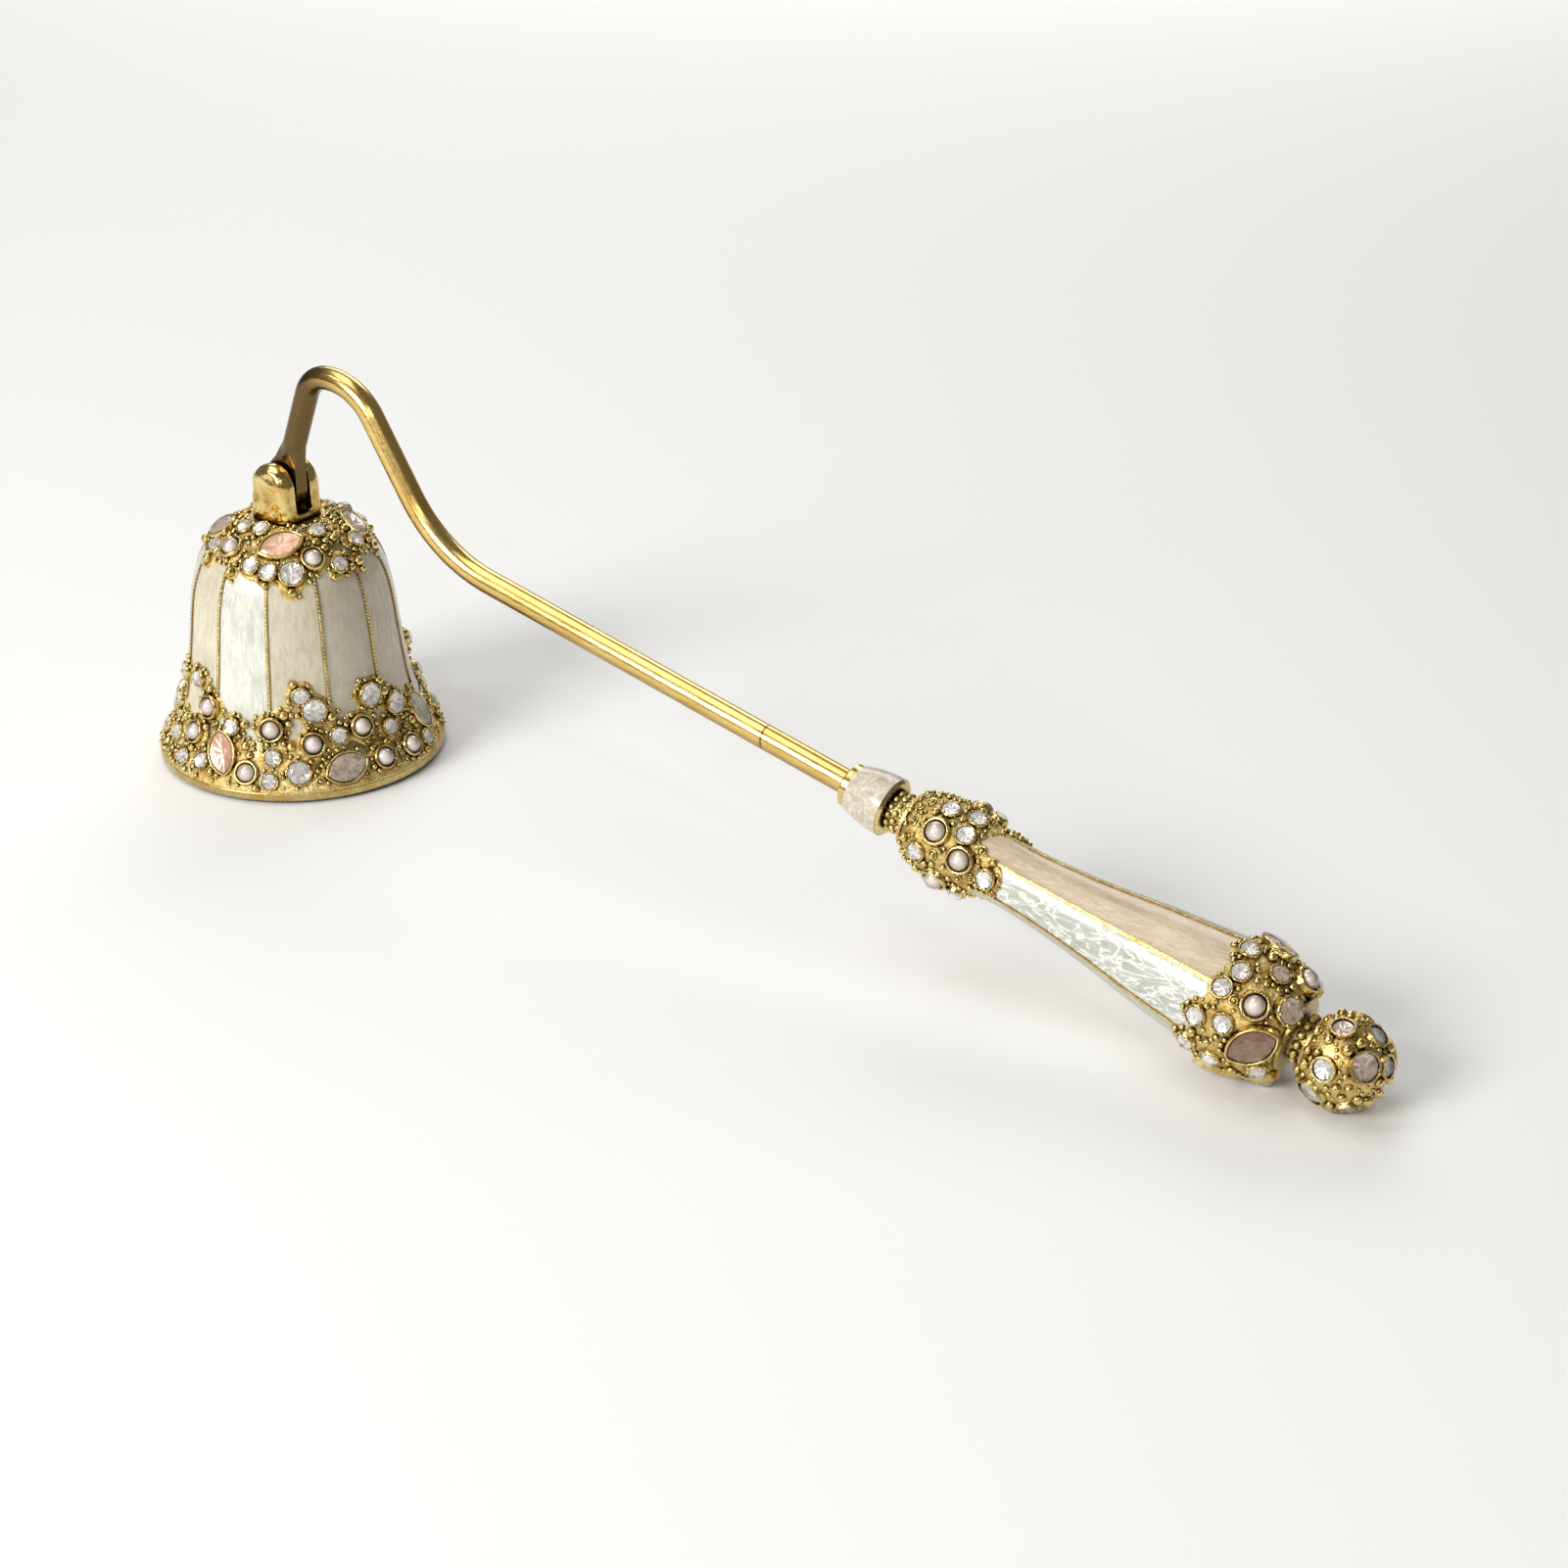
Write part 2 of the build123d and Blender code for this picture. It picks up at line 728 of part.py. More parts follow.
def finial(crystals, large_crystals, carriers):
    """Ball cut flat at its neck, with a disc there and cast-on cups, bored for its stud."""
    foot = (Align.CENTER, Align.CENTER, Align.MIN)
    front = finial_front()
    ball = Pos(0, 0, handle_length) * Sphere(finial_radius)
    ball = split(ball, Plane.XY.offset(front), keep=Keep.TOP)
    disc = Pos(0, 0, front) * Cylinder(finial_disc_radius, finial_disc_length, align=foot)
    kinds = (
        (finial_crystal_radius, finial_cup_height, crystals),
        (finial_large_crystal_radius, finial_cup_height, large_crystals),
        (finial_large_crystal_radius, finial_reach - finial_radius, carriers),
    )
    cups = []
    seats = []
    for radius, height, places in kinds:
        cups += [place * round_blank(radius, collet_wall, height) for place in places]
        seats += [place * round_seat(radius, height, finial_seat_height) for place in places]
    bore_length = stud_finial_length + stud_end_gap + cut_overrun
    stud_bore = Cylinder(stud_radius + running_clearance, bore_length, align=foot)
    bore = Pos(0, 0, front - cut_overrun) * stud_bore
    return ball.fuse(disc, *cups).cut(bore, *seats)


def finial_stud():
    """Stud that holds the finial on the handle."""
    foot = (Align.CENTER, Align.CENTER, Align.MIN)
    start = finial_front() - stud_core_length
    return Pos(0, 0, start) * Cylinder(stud_radius, stud_core_length + stud_finial_length, align=foot)


def bell_nodes():
    """Everything that swings with the bell."""
    body = bell_body()
    recesses, enamels = bell_panels()
    nodes = {"bell_shell": body.cut(bell_cavity(), *recesses)}
    for index, enamel in enumerate(enamels):
        nodes[f"bell_panel_{index + 1:02d}"] = enamel
    nodes["hinge_lug"] = hinge_lug()
    nodes["hinge_pin"] = hinge_pin()
    carrier = solder_body(bell_line)
    nodes.update(jewels(
        "crown",
        carrier,
        bell_places(crown_pearl_place_shares),
        bell_places(crown_crystal_place_shares),
        bell_places(crown_large_crystal_place_shares),
        bell_places(crown_marquise_place_shares),
        bell_places(crown_grain_place_shares),
    ))
    nodes.update(jewels(
        "rim",
        carrier,
        bell_places(rim_pearl_place_shares),
        bell_places(rim_crystal_place_shares),
        bell_places(rim_large_crystal_place_shares),
        bell_places(rim_marquise_place_shares),
        bell_places(rim_grain_place_shares),
    ))
    return nodes


def handle_nodes():
    """Everything on the handle, in the handle's own frame."""
    body = handle_body()
    recesses, enamels = handle_panels()
    nodes = {"handle_rod": handle_rod(), "ferrule": ferrule(), "ferrule_enamel": ferrule_enamel()}
    nodes["handle_core"] = handle_core(body, recesses)
    for index, enamel in enumerate(enamels):
        nodes[f"handle_panel_{index + 1}"] = enamel
    carrier = solder_body(handle_line).fuse(solder_ridge())
    nodes.update(jewels(
        "front_bulb",
        carrier,
        front_bulb_places(front_bulb_pearl_place_shares),
        front_bulb_places(front_bulb_crystal_place_shares),
    ))
    nodes.update(jewels(
        "rear_bulb",
        carrier,
        rear_bulb_places(rear_bulb_pearl_place_shares),
        rear_bulb_places(rear_bulb_crystal_place_shares),
        rear_bulb_places(rear_bulb_large_crystal_place_shares),
        rear_bulb_places(rear_bulb_marquise_place_shares),
    ))
    small = finial_places(finial_crystal_places)
    large = finial_places(finial_large_crystal_places)
    carriers = finial_places(finial_foot_places)
    nodes["finial"] = finial(small, large, carriers)
    nodes["finial_stud"] = finial_stud()
    stones = [place * crystal(finial_crystal_radius, finial_seat_height) for place in small]
    for place in large + carriers:
        stones.append(place * crystal(finial_large_crystal_radius, finial_seat_height))
    nodes["finial_crystals"] = Compound(children=stones)
    return nodes


bell_line = bell_outline()
handle_line = handle_outline()
nodes = bell_nodes()
nodes["arm_rod"] = arm_rod()
handle_frame = handle_place()
nodes.update({name: handle_frame * shape for name, shape in handle_nodes().items()})
os.makedirs("parts", exist_ok=True)
for name, shape in nodes.items():
    export_step(shape, f"parts/{name}.step")
lowest = min(nodes, key=lambda name: nodes[name].bounding_box().min.Z)
print(f"{len(nodes)} nodes, the lowest is {lowest} at Z = {nodes[lowest].bounding_box().min.Z:.3f}")
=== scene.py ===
import json
import math
import random

import bmesh
import bpy
import numpy as np
from mathutils import Matrix, Vector, noise
from mathutils.bvhtree import BVHTree

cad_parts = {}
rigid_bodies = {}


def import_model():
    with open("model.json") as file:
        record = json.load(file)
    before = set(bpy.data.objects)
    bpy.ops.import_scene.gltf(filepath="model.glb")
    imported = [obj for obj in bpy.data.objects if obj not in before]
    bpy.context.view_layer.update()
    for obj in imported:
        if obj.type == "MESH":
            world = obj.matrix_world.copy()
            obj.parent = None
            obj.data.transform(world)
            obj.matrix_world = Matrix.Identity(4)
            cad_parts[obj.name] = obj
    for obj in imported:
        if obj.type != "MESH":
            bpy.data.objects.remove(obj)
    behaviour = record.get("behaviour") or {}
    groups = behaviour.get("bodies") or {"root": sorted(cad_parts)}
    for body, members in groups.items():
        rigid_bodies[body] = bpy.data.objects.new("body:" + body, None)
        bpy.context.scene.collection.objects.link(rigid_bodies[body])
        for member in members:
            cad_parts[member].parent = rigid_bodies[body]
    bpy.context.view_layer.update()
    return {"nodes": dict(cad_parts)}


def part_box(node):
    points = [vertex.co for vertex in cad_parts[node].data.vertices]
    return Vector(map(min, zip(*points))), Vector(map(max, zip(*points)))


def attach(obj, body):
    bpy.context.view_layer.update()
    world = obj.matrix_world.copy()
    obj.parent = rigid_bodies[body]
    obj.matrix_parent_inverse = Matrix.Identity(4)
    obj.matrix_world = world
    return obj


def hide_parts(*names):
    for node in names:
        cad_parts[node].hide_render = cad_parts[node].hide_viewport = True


for leftover in list(bpy.data.objects):
    bpy.data.objects.remove(leftover)
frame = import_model()
nodes = frame["nodes"]
MM = 0.001

# Meshes. Points are in millimetres until new_object turns them into metres.


def in_scene(name, data):
    """A new object, linked to the scene."""
    obj = bpy.data.objects.new(name, data)
    bpy.context.scene.collection.objects.link(obj)
    return obj


def new_object(name, points, faces, body, smooth=True):
    """A mesh piece from points in millimetres, riding on a body."""
    mesh = bpy.data.meshes.new(name)
    mesh.from_pydata([tuple(np.asarray(p, float) * MM) for p in points], [], faces)
    mesh.validate()
    bm = bmesh.new()
    bm.from_mesh(mesh)
    bmesh.ops.recalc_face_normals(bm, faces=bm.faces)
    bm.to_mesh(mesh)
    bm.free()
    for polygon in mesh.polygons:
        polygon.use_smooth = smooth
    obj = in_scene(name, mesh)
    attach(obj, body)
    return obj


class Pieces:
    """Gathers many small closed forms into one mesh. A mark is the number of a face's material."""

    def __init__(self):
        self.points = []
        self.faces = []
        self.marks = []

    def add(self, points, faces, marks=None):
        start = len(self.points)
        self.points.extend(points)
        self.faces.extend([tuple(i + start for i in face) for face in faces])
        self.marks.extend(marks or [0] * len(faces))

    def add_ball(self, centre, radius):
        self.add(BALL_POINTS * radius + centre, BALL_FACES)

    def build(self, name, body, materials, smooth=True):
        obj = new_object(name, self.points, self.faces, body, smooth)
        for material in materials:
            obj.data.materials.append(material)
        for polygon, mark in zip(obj.data.polygons, self.marks):
            polygon.material_index = mark
        return obj


def unit_ball():
    """Unit ball as points and faces."""
    bm = bmesh.new()
    bmesh.ops.create_icosphere(bm, subdivisions=2, radius=1)
    points = np.array([v.co for v in bm.verts])
    faces = [tuple(v.index for v in face.verts) for face in bm.faces]
    bm.free()
    return points, faces


BALL_POINTS, BALL_FACES = unit_ball()


def frame_at(origin, normal, along):
    """Three axes and an origin: Z along the normal, X as near as possible to along."""
    normal = normal / np.linalg.norm(normal)
    side = along - normal * (along @ normal)
    side = side / np.linalg.norm(side)
    return np.array([side, np.cross(normal, side), normal]), origin


def placed(points, place):
    """Local points moved to a place."""
    axes, origin = place
    return np.asarray(points, float) @ axes + origin


def tube(line, radii, sides):
    """Round wire along a line, with a radius at each point and flat ends."""
    line = np.asarray(line, float)
    count = len(line)
    points = []
    side = np.cross(line[1] - line[0], (0.3, 0.5, 0.81))
    for k in range(count):
        run = line[min(k + 1, count - 1)] - line[max(k - 1, 0)]
        run = run / np.linalg.norm(run)
        side = side - run * (side @ run)
        side = side / np.linalg.norm(side)
        other = np.cross(run, side)
        for j in range(sides):
            angle = 2 * math.pi * j / sides
            points.append(line[k] + radii[k] * (math.cos(angle) * side + math.sin(angle) * other))
    faces = []
    for k in range(count - 1):
        for j in range(sides):
            after = (j + 1) % sides
            here, ahead = k * sides, (k + 1) * sides
            faces.append((here + j, ahead + j, ahead + after, here + after))
    faces.append(tuple(range(sides))[::-1])
    faces.append(tuple((count - 1) * sides + j for j in range(sides)))
    return points, faces


def ring_faces(steps, count):
    """Faces of a closed ring of steps sections, each a closed loop of count points."""
    faces = []
    for step in range(steps):
        here, ahead = step * count, (step + 1) % steps * count
        for k in range(count):
            after = (k + 1) % count
            faces.append((here + k, ahead + k, ahead + after, here + after))
    return faces


# What the CAD nodes say: their points, their separate solids and the seats of their stones.
WELD = 2e-6
FLAT_AREA = 1e-9


def node_points(names):
    """Welded vertices and faces of some CAD nodes, in millimetres."""
    points = []
    faces = []
    for name in names:
        bm = bmesh.new()
        bm.from_mesh(nodes[name].data)
        bmesh.ops.remove_doubles(bm, verts=bm.verts, dist=WELD)
        bm.verts.index_update()
        start = len(points)
        points.extend([np.array(v.co) / MM for v in bm.verts])
        faces.extend([tuple(v.index + start for v in face.verts) for face in bm.faces])
        bm.free()
    return np.array(points), faces


def islands(name):
    """Each separate solid of a node: its points and faces."""
    points, faces = node_points([name])
    parent = list(range(len(points)))

    def root(i):
        while parent[i] != i:
            parent[i] = parent[parent[i]]
            i = parent[i]
        return i

    for face in faces:
        first = root(face[0])
        for i in face[1:]:
            parent[root(i)] = first
    groups = {}
    for face in faces:
        groups.setdefault(root(face[0]), []).append(face)
    out = []
    for key in sorted(groups):
        used = sorted({i for face in groups[key] for i in face})
        index = {old: new for new, old in enumerate(used)}
        out.append((points[used], [tuple(index[i] for i in face) for face in groups[key]]))
    return out


def seats(name):
    """Where each stone of a node sits: centre of its flat back, outward and long axes, half sizes, height."""
    found = []
    for points, faces in islands(name):
        flats = {}
        for face in faces:
            corner = points[list(face)]
            normal = np.zeros(3)
            for k in range(1, len(face) - 1):
                normal += np.cross(corner[k] - corner[0], corner[k + 1] - corner[0]) / 2
            size = np.linalg.norm(normal)
            if size < FLAT_AREA:
                continue
            flat = flats.setdefault(tuple(np.round(normal / size, 2)), [0, []])
            flat[0] += size
            flat[1].append((normal, corner))
        widest = max(flats.values(), key=lambda flat: flat[0])[1]
        inward = sum(normal for normal, _ in widest)
        outward = -inward / np.linalg.norm(inward)
        back = np.concatenate([corner for _, corner in widest])
        back = np.unique(np.round(back, 3), axis=0)
        centre = back.mean(0)
        flat = back - centre
        flat = flat - np.outer(flat @ outward, outward)
        reach = np.linalg.norm(flat, axis=1)
        long_axis = flat[reach.argmax()] / reach.max()
        across = np.cross(outward, long_axis)
        half = []
        for axis in (long_axis, across):
            span = flat @ axis
            centre = centre + axis * (span.max() + span.min()) / 2
            half.append((span.max() - span.min()) / 2)
        found.append({
            "centre": centre,
            "out": outward,
            "long": long_axis,
            "length": half[0],
            "width": half[1],
            "height": ((points - centre) @ outward).max(),
        })
    return found


RAY_TURNS = 24
RAY_OFFSET_SHARE = 0.37
RAY_REACH = 60
PROFILE_STEPS = 600
PROFILE_BLUR = 9
SLOPE_STEP = 0.15


class Round:
    """A carrier that is round about an axis: gives the place on its skin for a turn and a step along it."""

    def __init__(self, names, origin, axis, up, rays):
        """Rays are pairs of a place along the axis and a tilt out of the plane square to it."""
        self.origin = np.asarray(origin, float)
        self.axis = np.asarray(axis, float) / np.linalg.norm(axis)
        up = np.asarray(up, float) - self.axis * (np.asarray(up, float) @ self.axis)
        self.up = up / np.linalg.norm(up)
        self.side = np.cross(self.axis, self.up)
        points, faces = node_points(names)
        tree = BVHTree.FromPolygons([Vector(p) for p in points], faces)
        profile = []
        for along, tilt in rays:
            reach = []
            start = self.origin + self.axis * along
            for k in range(RAY_TURNS):
                way = self.way(360 * (k + RAY_OFFSET_SHARE) / RAY_TURNS)
                ray = math.cos(tilt) * way + math.sin(tilt) * self.axis
                hit = tree.ray_cast(Vector(start + ray * RAY_REACH), Vector(-ray))
                if hit[0] is not None:
                    reach.append(np.linalg.norm(np.array(hit[0]) - start))
            length = float(np.median(reach))
            profile.append((length * math.cos(tilt), along + length * math.sin(tilt)))
        profile = np.array(profile)
        run = np.concatenate([[0], np.cumsum(np.linalg.norm(np.diff(profile, axis=0), axis=1))])
        self.length = float(run[-1])
        self.fine = np.linspace(0, self.length, PROFILE_STEPS)
        self.radius, self.height = [self.blurred(np.interp(self.fine, run, v)) for v in profile.T]

    @staticmethod
    def blurred(values):
        """Running mean, with the ends held."""
        ends = PROFILE_BLUR // 2
        padded = np.concatenate([values[:1].repeat(ends), values, values[-1:].repeat(ends)])
        return np.convolve(padded, np.ones(PROFILE_BLUR) / PROFILE_BLUR, "valid")

    def way(self, turn):
        """Direction square to the axis at a turn in degrees."""
        angle = math.radians(turn)
        return math.cos(angle) * self.up + math.sin(angle) * self.side

    def at(self, turn, run):
        """Point on the skin and outward normal at a turn and a run along the profile."""
        radius = np.interp(run, self.fine, self.radius)
        height = np.interp(run, self.fine, self.height)
        before, after = run - SLOPE_STEP, run + SLOPE_STEP
        slope = np.array([np.interp(after, self.fine, v) - np.interp(before, self.fine, v)
                          for v in (self.radius, self.height)])
        slope = slope / np.linalg.norm(slope)
        way = self.way(turn)
        point = self.origin + way * radius + self.axis * height
        return point, way * slope[1] - self.axis * slope[0]

    def run_at(self, height):
        """Run along the profile where it reaches a height along the axis."""
        return float(np.interp(height, self.height, self.fine))

    def radius_at(self, run):
        return float(np.interp(run, self.fine, self.radius))


BELL_FIELDS = 12
HANDLE_FIELDS = 6
BELL_PANELS = [f"bell_panel_{k + 1:02d}" for k in range(BELL_FIELDS)]
HANDLE_PANELS = [f"handle_panel_{k + 1}" for k in range(HANDLE_FIELDS)]
crown_seat_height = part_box("hinge_lug")[0][2] / MM
handle_slope = math.radians(12.6)
handle_axis = np.array((math.cos(handle_slope), 0, -math.sin(handle_slope)))
handle_up = np.array((math.sin(handle_slope), 0, math.cos(handle_slope)))
finial_centre = np.array((199.8, 0, 7.25))
HANDLE_LENGTH = 85
SEAM_BEFORE_HANDLE = 15.7
PIN_HEIGHT = 49.0
BELL_RAY_HEIGHT = 25.0
handle_front = finial_centre - handle_axis * HANDLE_LENGTH

bell_rays = [(BELL_RAY_HEIGHT, math.radians(a)) for a in np.arange(-43.4, 72.0, 0.7)]
bell_skin = Round(["bell_shell", *BELL_PANELS], (0, 0, 0), (0, 0, 1), (1, 0, 0), bell_rays)
handle_rays = [(a, 0.0) for a in np.arange(12.5, 77.0, 0.4)]
handle_skin = Round(["handle_core", *HANDLE_PANELS], handle_front, handle_axis, handle_up, handle_rays)


def all_seats(prefix):
    """Seats of every stone in a zone, by kind."""
    kinds = ("pearls", "crystals", "marquises")
    return {kind: seats(f"{prefix}_{kind}") for kind in kinds if f"{prefix}_{kind}" in nodes}


BODY_OF = {"crown": "bell", "rim": "bell", "front_bulb": "arm", "rear_bulb": "arm", "finial": "arm"}
zones = {prefix: all_seats(prefix) for prefix in BODY_OF}

# Materials, all procedural. Scales are per millimetre, and distances in millimetres.


def fill(node, **values):
    """Sets inputs of a shader node by name, with underscores for its spaces."""
    for key, value in values.items():
        node.inputs[key.replace("_", " ")].default_value = value


class Graph:
    """Small helper for a procedural material."""

    def __init__(self, name):
        self.material = bpy.data.materials.new(name)
        self.material.use_nodes = True
        self.tree = self.material.node_tree
        self.shader = self.tree.nodes["Principled BSDF"]
        self.coordinates = self.node("ShaderNodeTexCoord").outputs["Object"]

    def node(self, kind, **values):
        node = self.tree.nodes.new(kind)
        for key, value in values.items():
            setattr(node, key, value)
        return node

    def link(self, source, target):
        self.tree.links.new(source, target)

    def set(self, **values):
        fill(self.shader, **values)

    def stretched(self, scale=(1, 1, 1), tilt=0.0):
        """Object coordinates in millimetres, turned about Y and scaled."""
        mapping = self.node("ShaderNodeMapping", vector_type="POINT")
        fill(mapping, Rotation=(0, tilt, 0), Scale=[v / MM for v in scale])
        self.link(self.coordinates, mapping.inputs["Vector"])
        return mapping.outputs["Vector"]

    def noise(self, vector, scale, detail, rough, distortion=0.0):
        node = self.node("ShaderNodeTexNoise")
        self.link(vector, node.inputs["Vector"])
        fill(node, Scale=scale, Detail=detail, Roughness=rough, Distortion=distortion)
        return node.outputs["Fac"]

    def ramp(self, value, stops):
        node = self.node("ShaderNodeValToRGB")
        self.link(value, node.inputs["Fac"])
        elements = node.color_ramp.elements
        while len(elements) < len(stops):
            elements.new(0.5)
        for element, (place, colour) in zip(elements, stops):
            element.position = place
            element.color = (*colour, 1)
        return node.outputs["Color"]

    def put(self, value, socket):
        """Links a node's output, or sets a number or a colour."""
        if hasattr(value, "is_output"):
            self.link(value, socket)
        elif isinstance(value, (int, float)):
            socket.default_value = value
        else:
            socket.default_value = (*value, 1)

    def mix(self, share, first, second, kind="MIX"):
        node = self.node("ShaderNodeMix", data_type="RGBA", blend_type=kind)
        for place, value in ((0, share), (6, first), (7, second)):
            self.put(value, node.inputs[place])
        return node.outputs[2]

    def math(self, kind, first, second=0.0):
        node = self.node("ShaderNodeMath", operation=kind)
        self.put(first, node.inputs[0])
        self.put(second, node.inputs[1])
        return node.outputs[0]

    def map(self, value, low, high, to_low, to_high):
        node = self.node("ShaderNodeMapRange")
        self.link(value, node.inputs["Value"])
        fill(node, From_Min=low, From_Max=high, To_Min=to_low, To_Max=to_high)
        return node.outputs["Result"]

    def hollow(self, distance):
        """1 on open skin and near 0 deep between neighbours."""
        node = self.node("ShaderNodeAmbientOcclusion", samples=8, only_local=False)
        fill(node, Distance=distance * MM)
        return node.outputs["AO"]

    def bump(self, height, strength, distance):
        node = self.node("ShaderNodeBump")
        fill(node, Strength=strength, Distance=distance * MM)
        self.link(height, node.inputs["Height"])
        self.link(node.outputs["Normal"], self.shader.inputs["Normal"])

    def colour(self, socket):
        self.link(socket, self.shader.inputs["Base Color"])

    def roughness(self, value, low, high):
        """Roughness from a noise, most of which lies in NOISE_SPAN."""
        self.link(self.map(value, *NOISE_SPAN, low, high), self.shader.inputs["Roughness"])


NOISE_SPAN = (0.3, 0.7)
GOLD = (0.76, 0.565, 0.205)
PALE_GOLD = (0.88, 0.74, 0.37)
DEEP_GOLD = (0.53, 0.32, 0.09)
PATINA = (0.062, 0.034, 0.012)
# The next two colours are painted shade on the wire: on its leg towards the flat end, and on its underside.
PAINTED_LEG_SHADE = (0.12, 0.076, 0.033)
PAINTED_UNDERSIDE_SHADE = (0.13, 0.085, 0.03)
SEAM_LINE = (0.10, 0.055, 0.02)
# Span along X over which the leg's painted shade fades out.
PAINTED_LEG_SHADE_SPAN = (8.5, 15.5)
SEAM_SPAN = (0.10, 0.28)
WHITE = (1, 1, 1)
BLACK = (0, 0, 0)


def gold(name, rough, grain, depth, crevice, base=GOLD, pale=PALE_GOLD):
    """Gold plate: tone drifts over the skin, hollows are antiqued, and the surface has a fine grain."""
    g = Graph(name)
    g.set(Metallic=1.0)
    skin = g.stretched()
    drift = g.noise(skin, 0.35, 4, 0.6)
    tone = g.ramp(drift, [(0.30, DEEP_GOLD), (0.47, base), (0.72, pale)])
    fleck = g.ramp(g.noise(skin, 2.6, 5, 0.65), [(0.36, (0.70, 0.66, 0.58)), (0.50, WHITE)])
    tone = g.mix(1.0, tone, fleck, "MULTIPLY")
    open_share = g.ramp(g.hollow(crevice), [(0.36, BLACK), (0.88, WHITE)])
    tone = g.mix(open_share, PATINA, tone)
    g.colour(tone)
    g.roughness(g.noise(skin, 1.3, 4, 0.6), *rough)
    g.bump(g.noise(skin, grain, 5, 0.6), 1.0, depth)
    return g.material


def wire_gold():
    """Drawn wire: faint lengthwise lines, a dark line at the seam, and painted shade darkening its flat end
    and its underside.
    """
    g = Graph("gold_wire")
    g.set(Metallic=1.0)
    lines = g.stretched((0.05, 1, 1), handle_slope)
    streak = g.noise(lines, 2.2, 4, 0.6)
    skin = g.stretched()
    tone = g.ramp(streak, [
        (0.30, (0.70, 0.47, 0.15)),
        (0.50, (0.77, 0.55, 0.185)),
        (0.75, (0.83, 0.63, 0.24)),
    ])
    blot = g.ramp(g.noise(skin, 0.12, 2, 0.5), [(0.40, (0.92, 0.86, 0.78)), (0.62, WHITE)])
    tone = g.mix(1.0, tone, blot, "MULTIPLY")
    split = g.node("ShaderNodeSeparateXYZ")
    g.link(skin, split.inputs[0])
    # Painted shade: the leg towards the flat end is darkened to brown.
    old = g.map(split.outputs["X"], *PAINTED_LEG_SHADE_SPAN, 1.0, 0.0)
    tone = g.mix(g.math("MULTIPLY", old, 0.93), tone, PAINTED_LEG_SHADE)
    # Painted shade: faces turned downwards are darkened, a dark reflection painted on the underside.
    facing = g.node("ShaderNodeSeparateXYZ")
    g.link(g.coordinates.node.outputs["Normal"], facing.inputs[0])
    under = g.map(facing.outputs["Z"], -0.75, 0.0, 0.85, 0.0)
    tone = g.mix(under, tone, PAINTED_UNDERSIDE_SHADE)
    seam_place = handle_front[0] - math.cos(handle_slope) * SEAM_BEFORE_HANDLE
    away = g.math("ABSOLUTE", g.math("SUBTRACT", split.outputs["X"], seam_place))
    seam = g.map(away, *SEAM_SPAN, 1.0, 0.0)
    tone = g.mix(g.math("MULTIPLY", seam, 0.8), tone, SEAM_LINE)
    g.colour(tone)
    g.roughness(streak, 0.20, 0.27)
    g.bump(g.noise(skin, 5.0, 3, 0.5), 0.1, 0.006)
    return g.material


def enamel(name, light, base, shade, scale, tilt, veins, vein_tone):
    """Pearly enamel: brushed streaks along the field, soft clouds and marbled veins under a clear coat."""
    g = Graph(name)
    streak_skin = g.stretched(scale, tilt)
    skin = g.stretched()
    streak = g.noise(streak_skin, 1.5, 5, 0.62, 0.4)
    cloud = g.noise(skin, 0.16, 3, 0.55, 0.6)
    tone = g.ramp(streak, [(0.34, shade), (0.50, base), (0.68, light)])
    cloudy = g.ramp(cloud, [(0.36, shade), (0.52, base), (0.70, light)])
    tone = g.mix(0.45, tone, cloudy)
    swirl = g.noise(g.stretched([0.5 * v for v in scale], tilt), 0.9, 4, 0.55, 2.6)
    vein = g.ramp(swirl, [(0.44, BLACK), (0.50, WHITE), (0.56, BLACK)])
    tone = g.mix(g.math("MULTIPLY", vein, veins), tone, vein_tone)
    rim = g.ramp(g.hollow(0.9), [(0.35, (0.42, 0.33, 0.20)), (0.85, WHITE)])
    tone = g.mix(0.8, tone, g.mix(1.0, tone, rim, "MULTIPLY"))
    g.colour(tone)
    g.set(Metallic=0.0, Specular_IOR_Level=0.4, Coat_Weight=0.5, Coat_Roughness=0.13)
    g.roughness(streak, 0.30, 0.46)
    g.bump(g.mix(0.5, streak, swirl), 0.5, 0.10)
    return g.material


def pearl_material():
    """Half pearl: pale where it faces the view, and darker towards its edge under a lustrous coat; the
    darkening is painted shade that follows the camera.
    """
    g = Graph("pearl")
    skin = g.stretched()
    facing = g.node("ShaderNodeLayerWeight").outputs["Facing"]
    fill(facing.node, Blend=0.42)
    # Painted shade: the base colour darkens from the middle that faces the view towards the pearl's edge.
    tone = g.ramp(facing, [
        (0.0, (0.88, 0.80, 0.72)),
        (0.16, (0.62, 0.53, 0.46)),
        (0.45, (0.31, 0.23, 0.18)),
        (0.8, (0.17, 0.12, 0.08)),
    ])
    drift = g.ramp(g.noise(skin, 0.8, 3, 0.5), [(0.35, (0.93, 0.88, 0.86)), (0.65, WHITE)])
    g.colour(g.mix(1.0, tone, drift, "MULTIPLY"))
    g.set(Coat_Weight=1.0, Coat_Roughness=0.24, Coat_IOR=2.5, Metallic=0.0)
    g.roughness(g.noise(skin, 1.7, 3, 0.5), 0.22, 0.34)
    g.bump(g.noise(skin, 1.2, 2, 0.5), 0.3, 0.02)
    return g.material


def crystal_material(name, tint, depth):
    """Polished front of a stone: its tint lies over the foil as strongly as its depth says."""
    g = Graph(name)
    skin = g.stretched()
    deep = tuple(0.72 * v for v in tint)
    g.colour(g.ramp(g.noise(skin, 0.7, 3, 0.6), [(0.38, deep), (0.58, tint)]))
    g.set(Alpha=depth, IOR=1.8, Roughness=0.03)
    return g.material


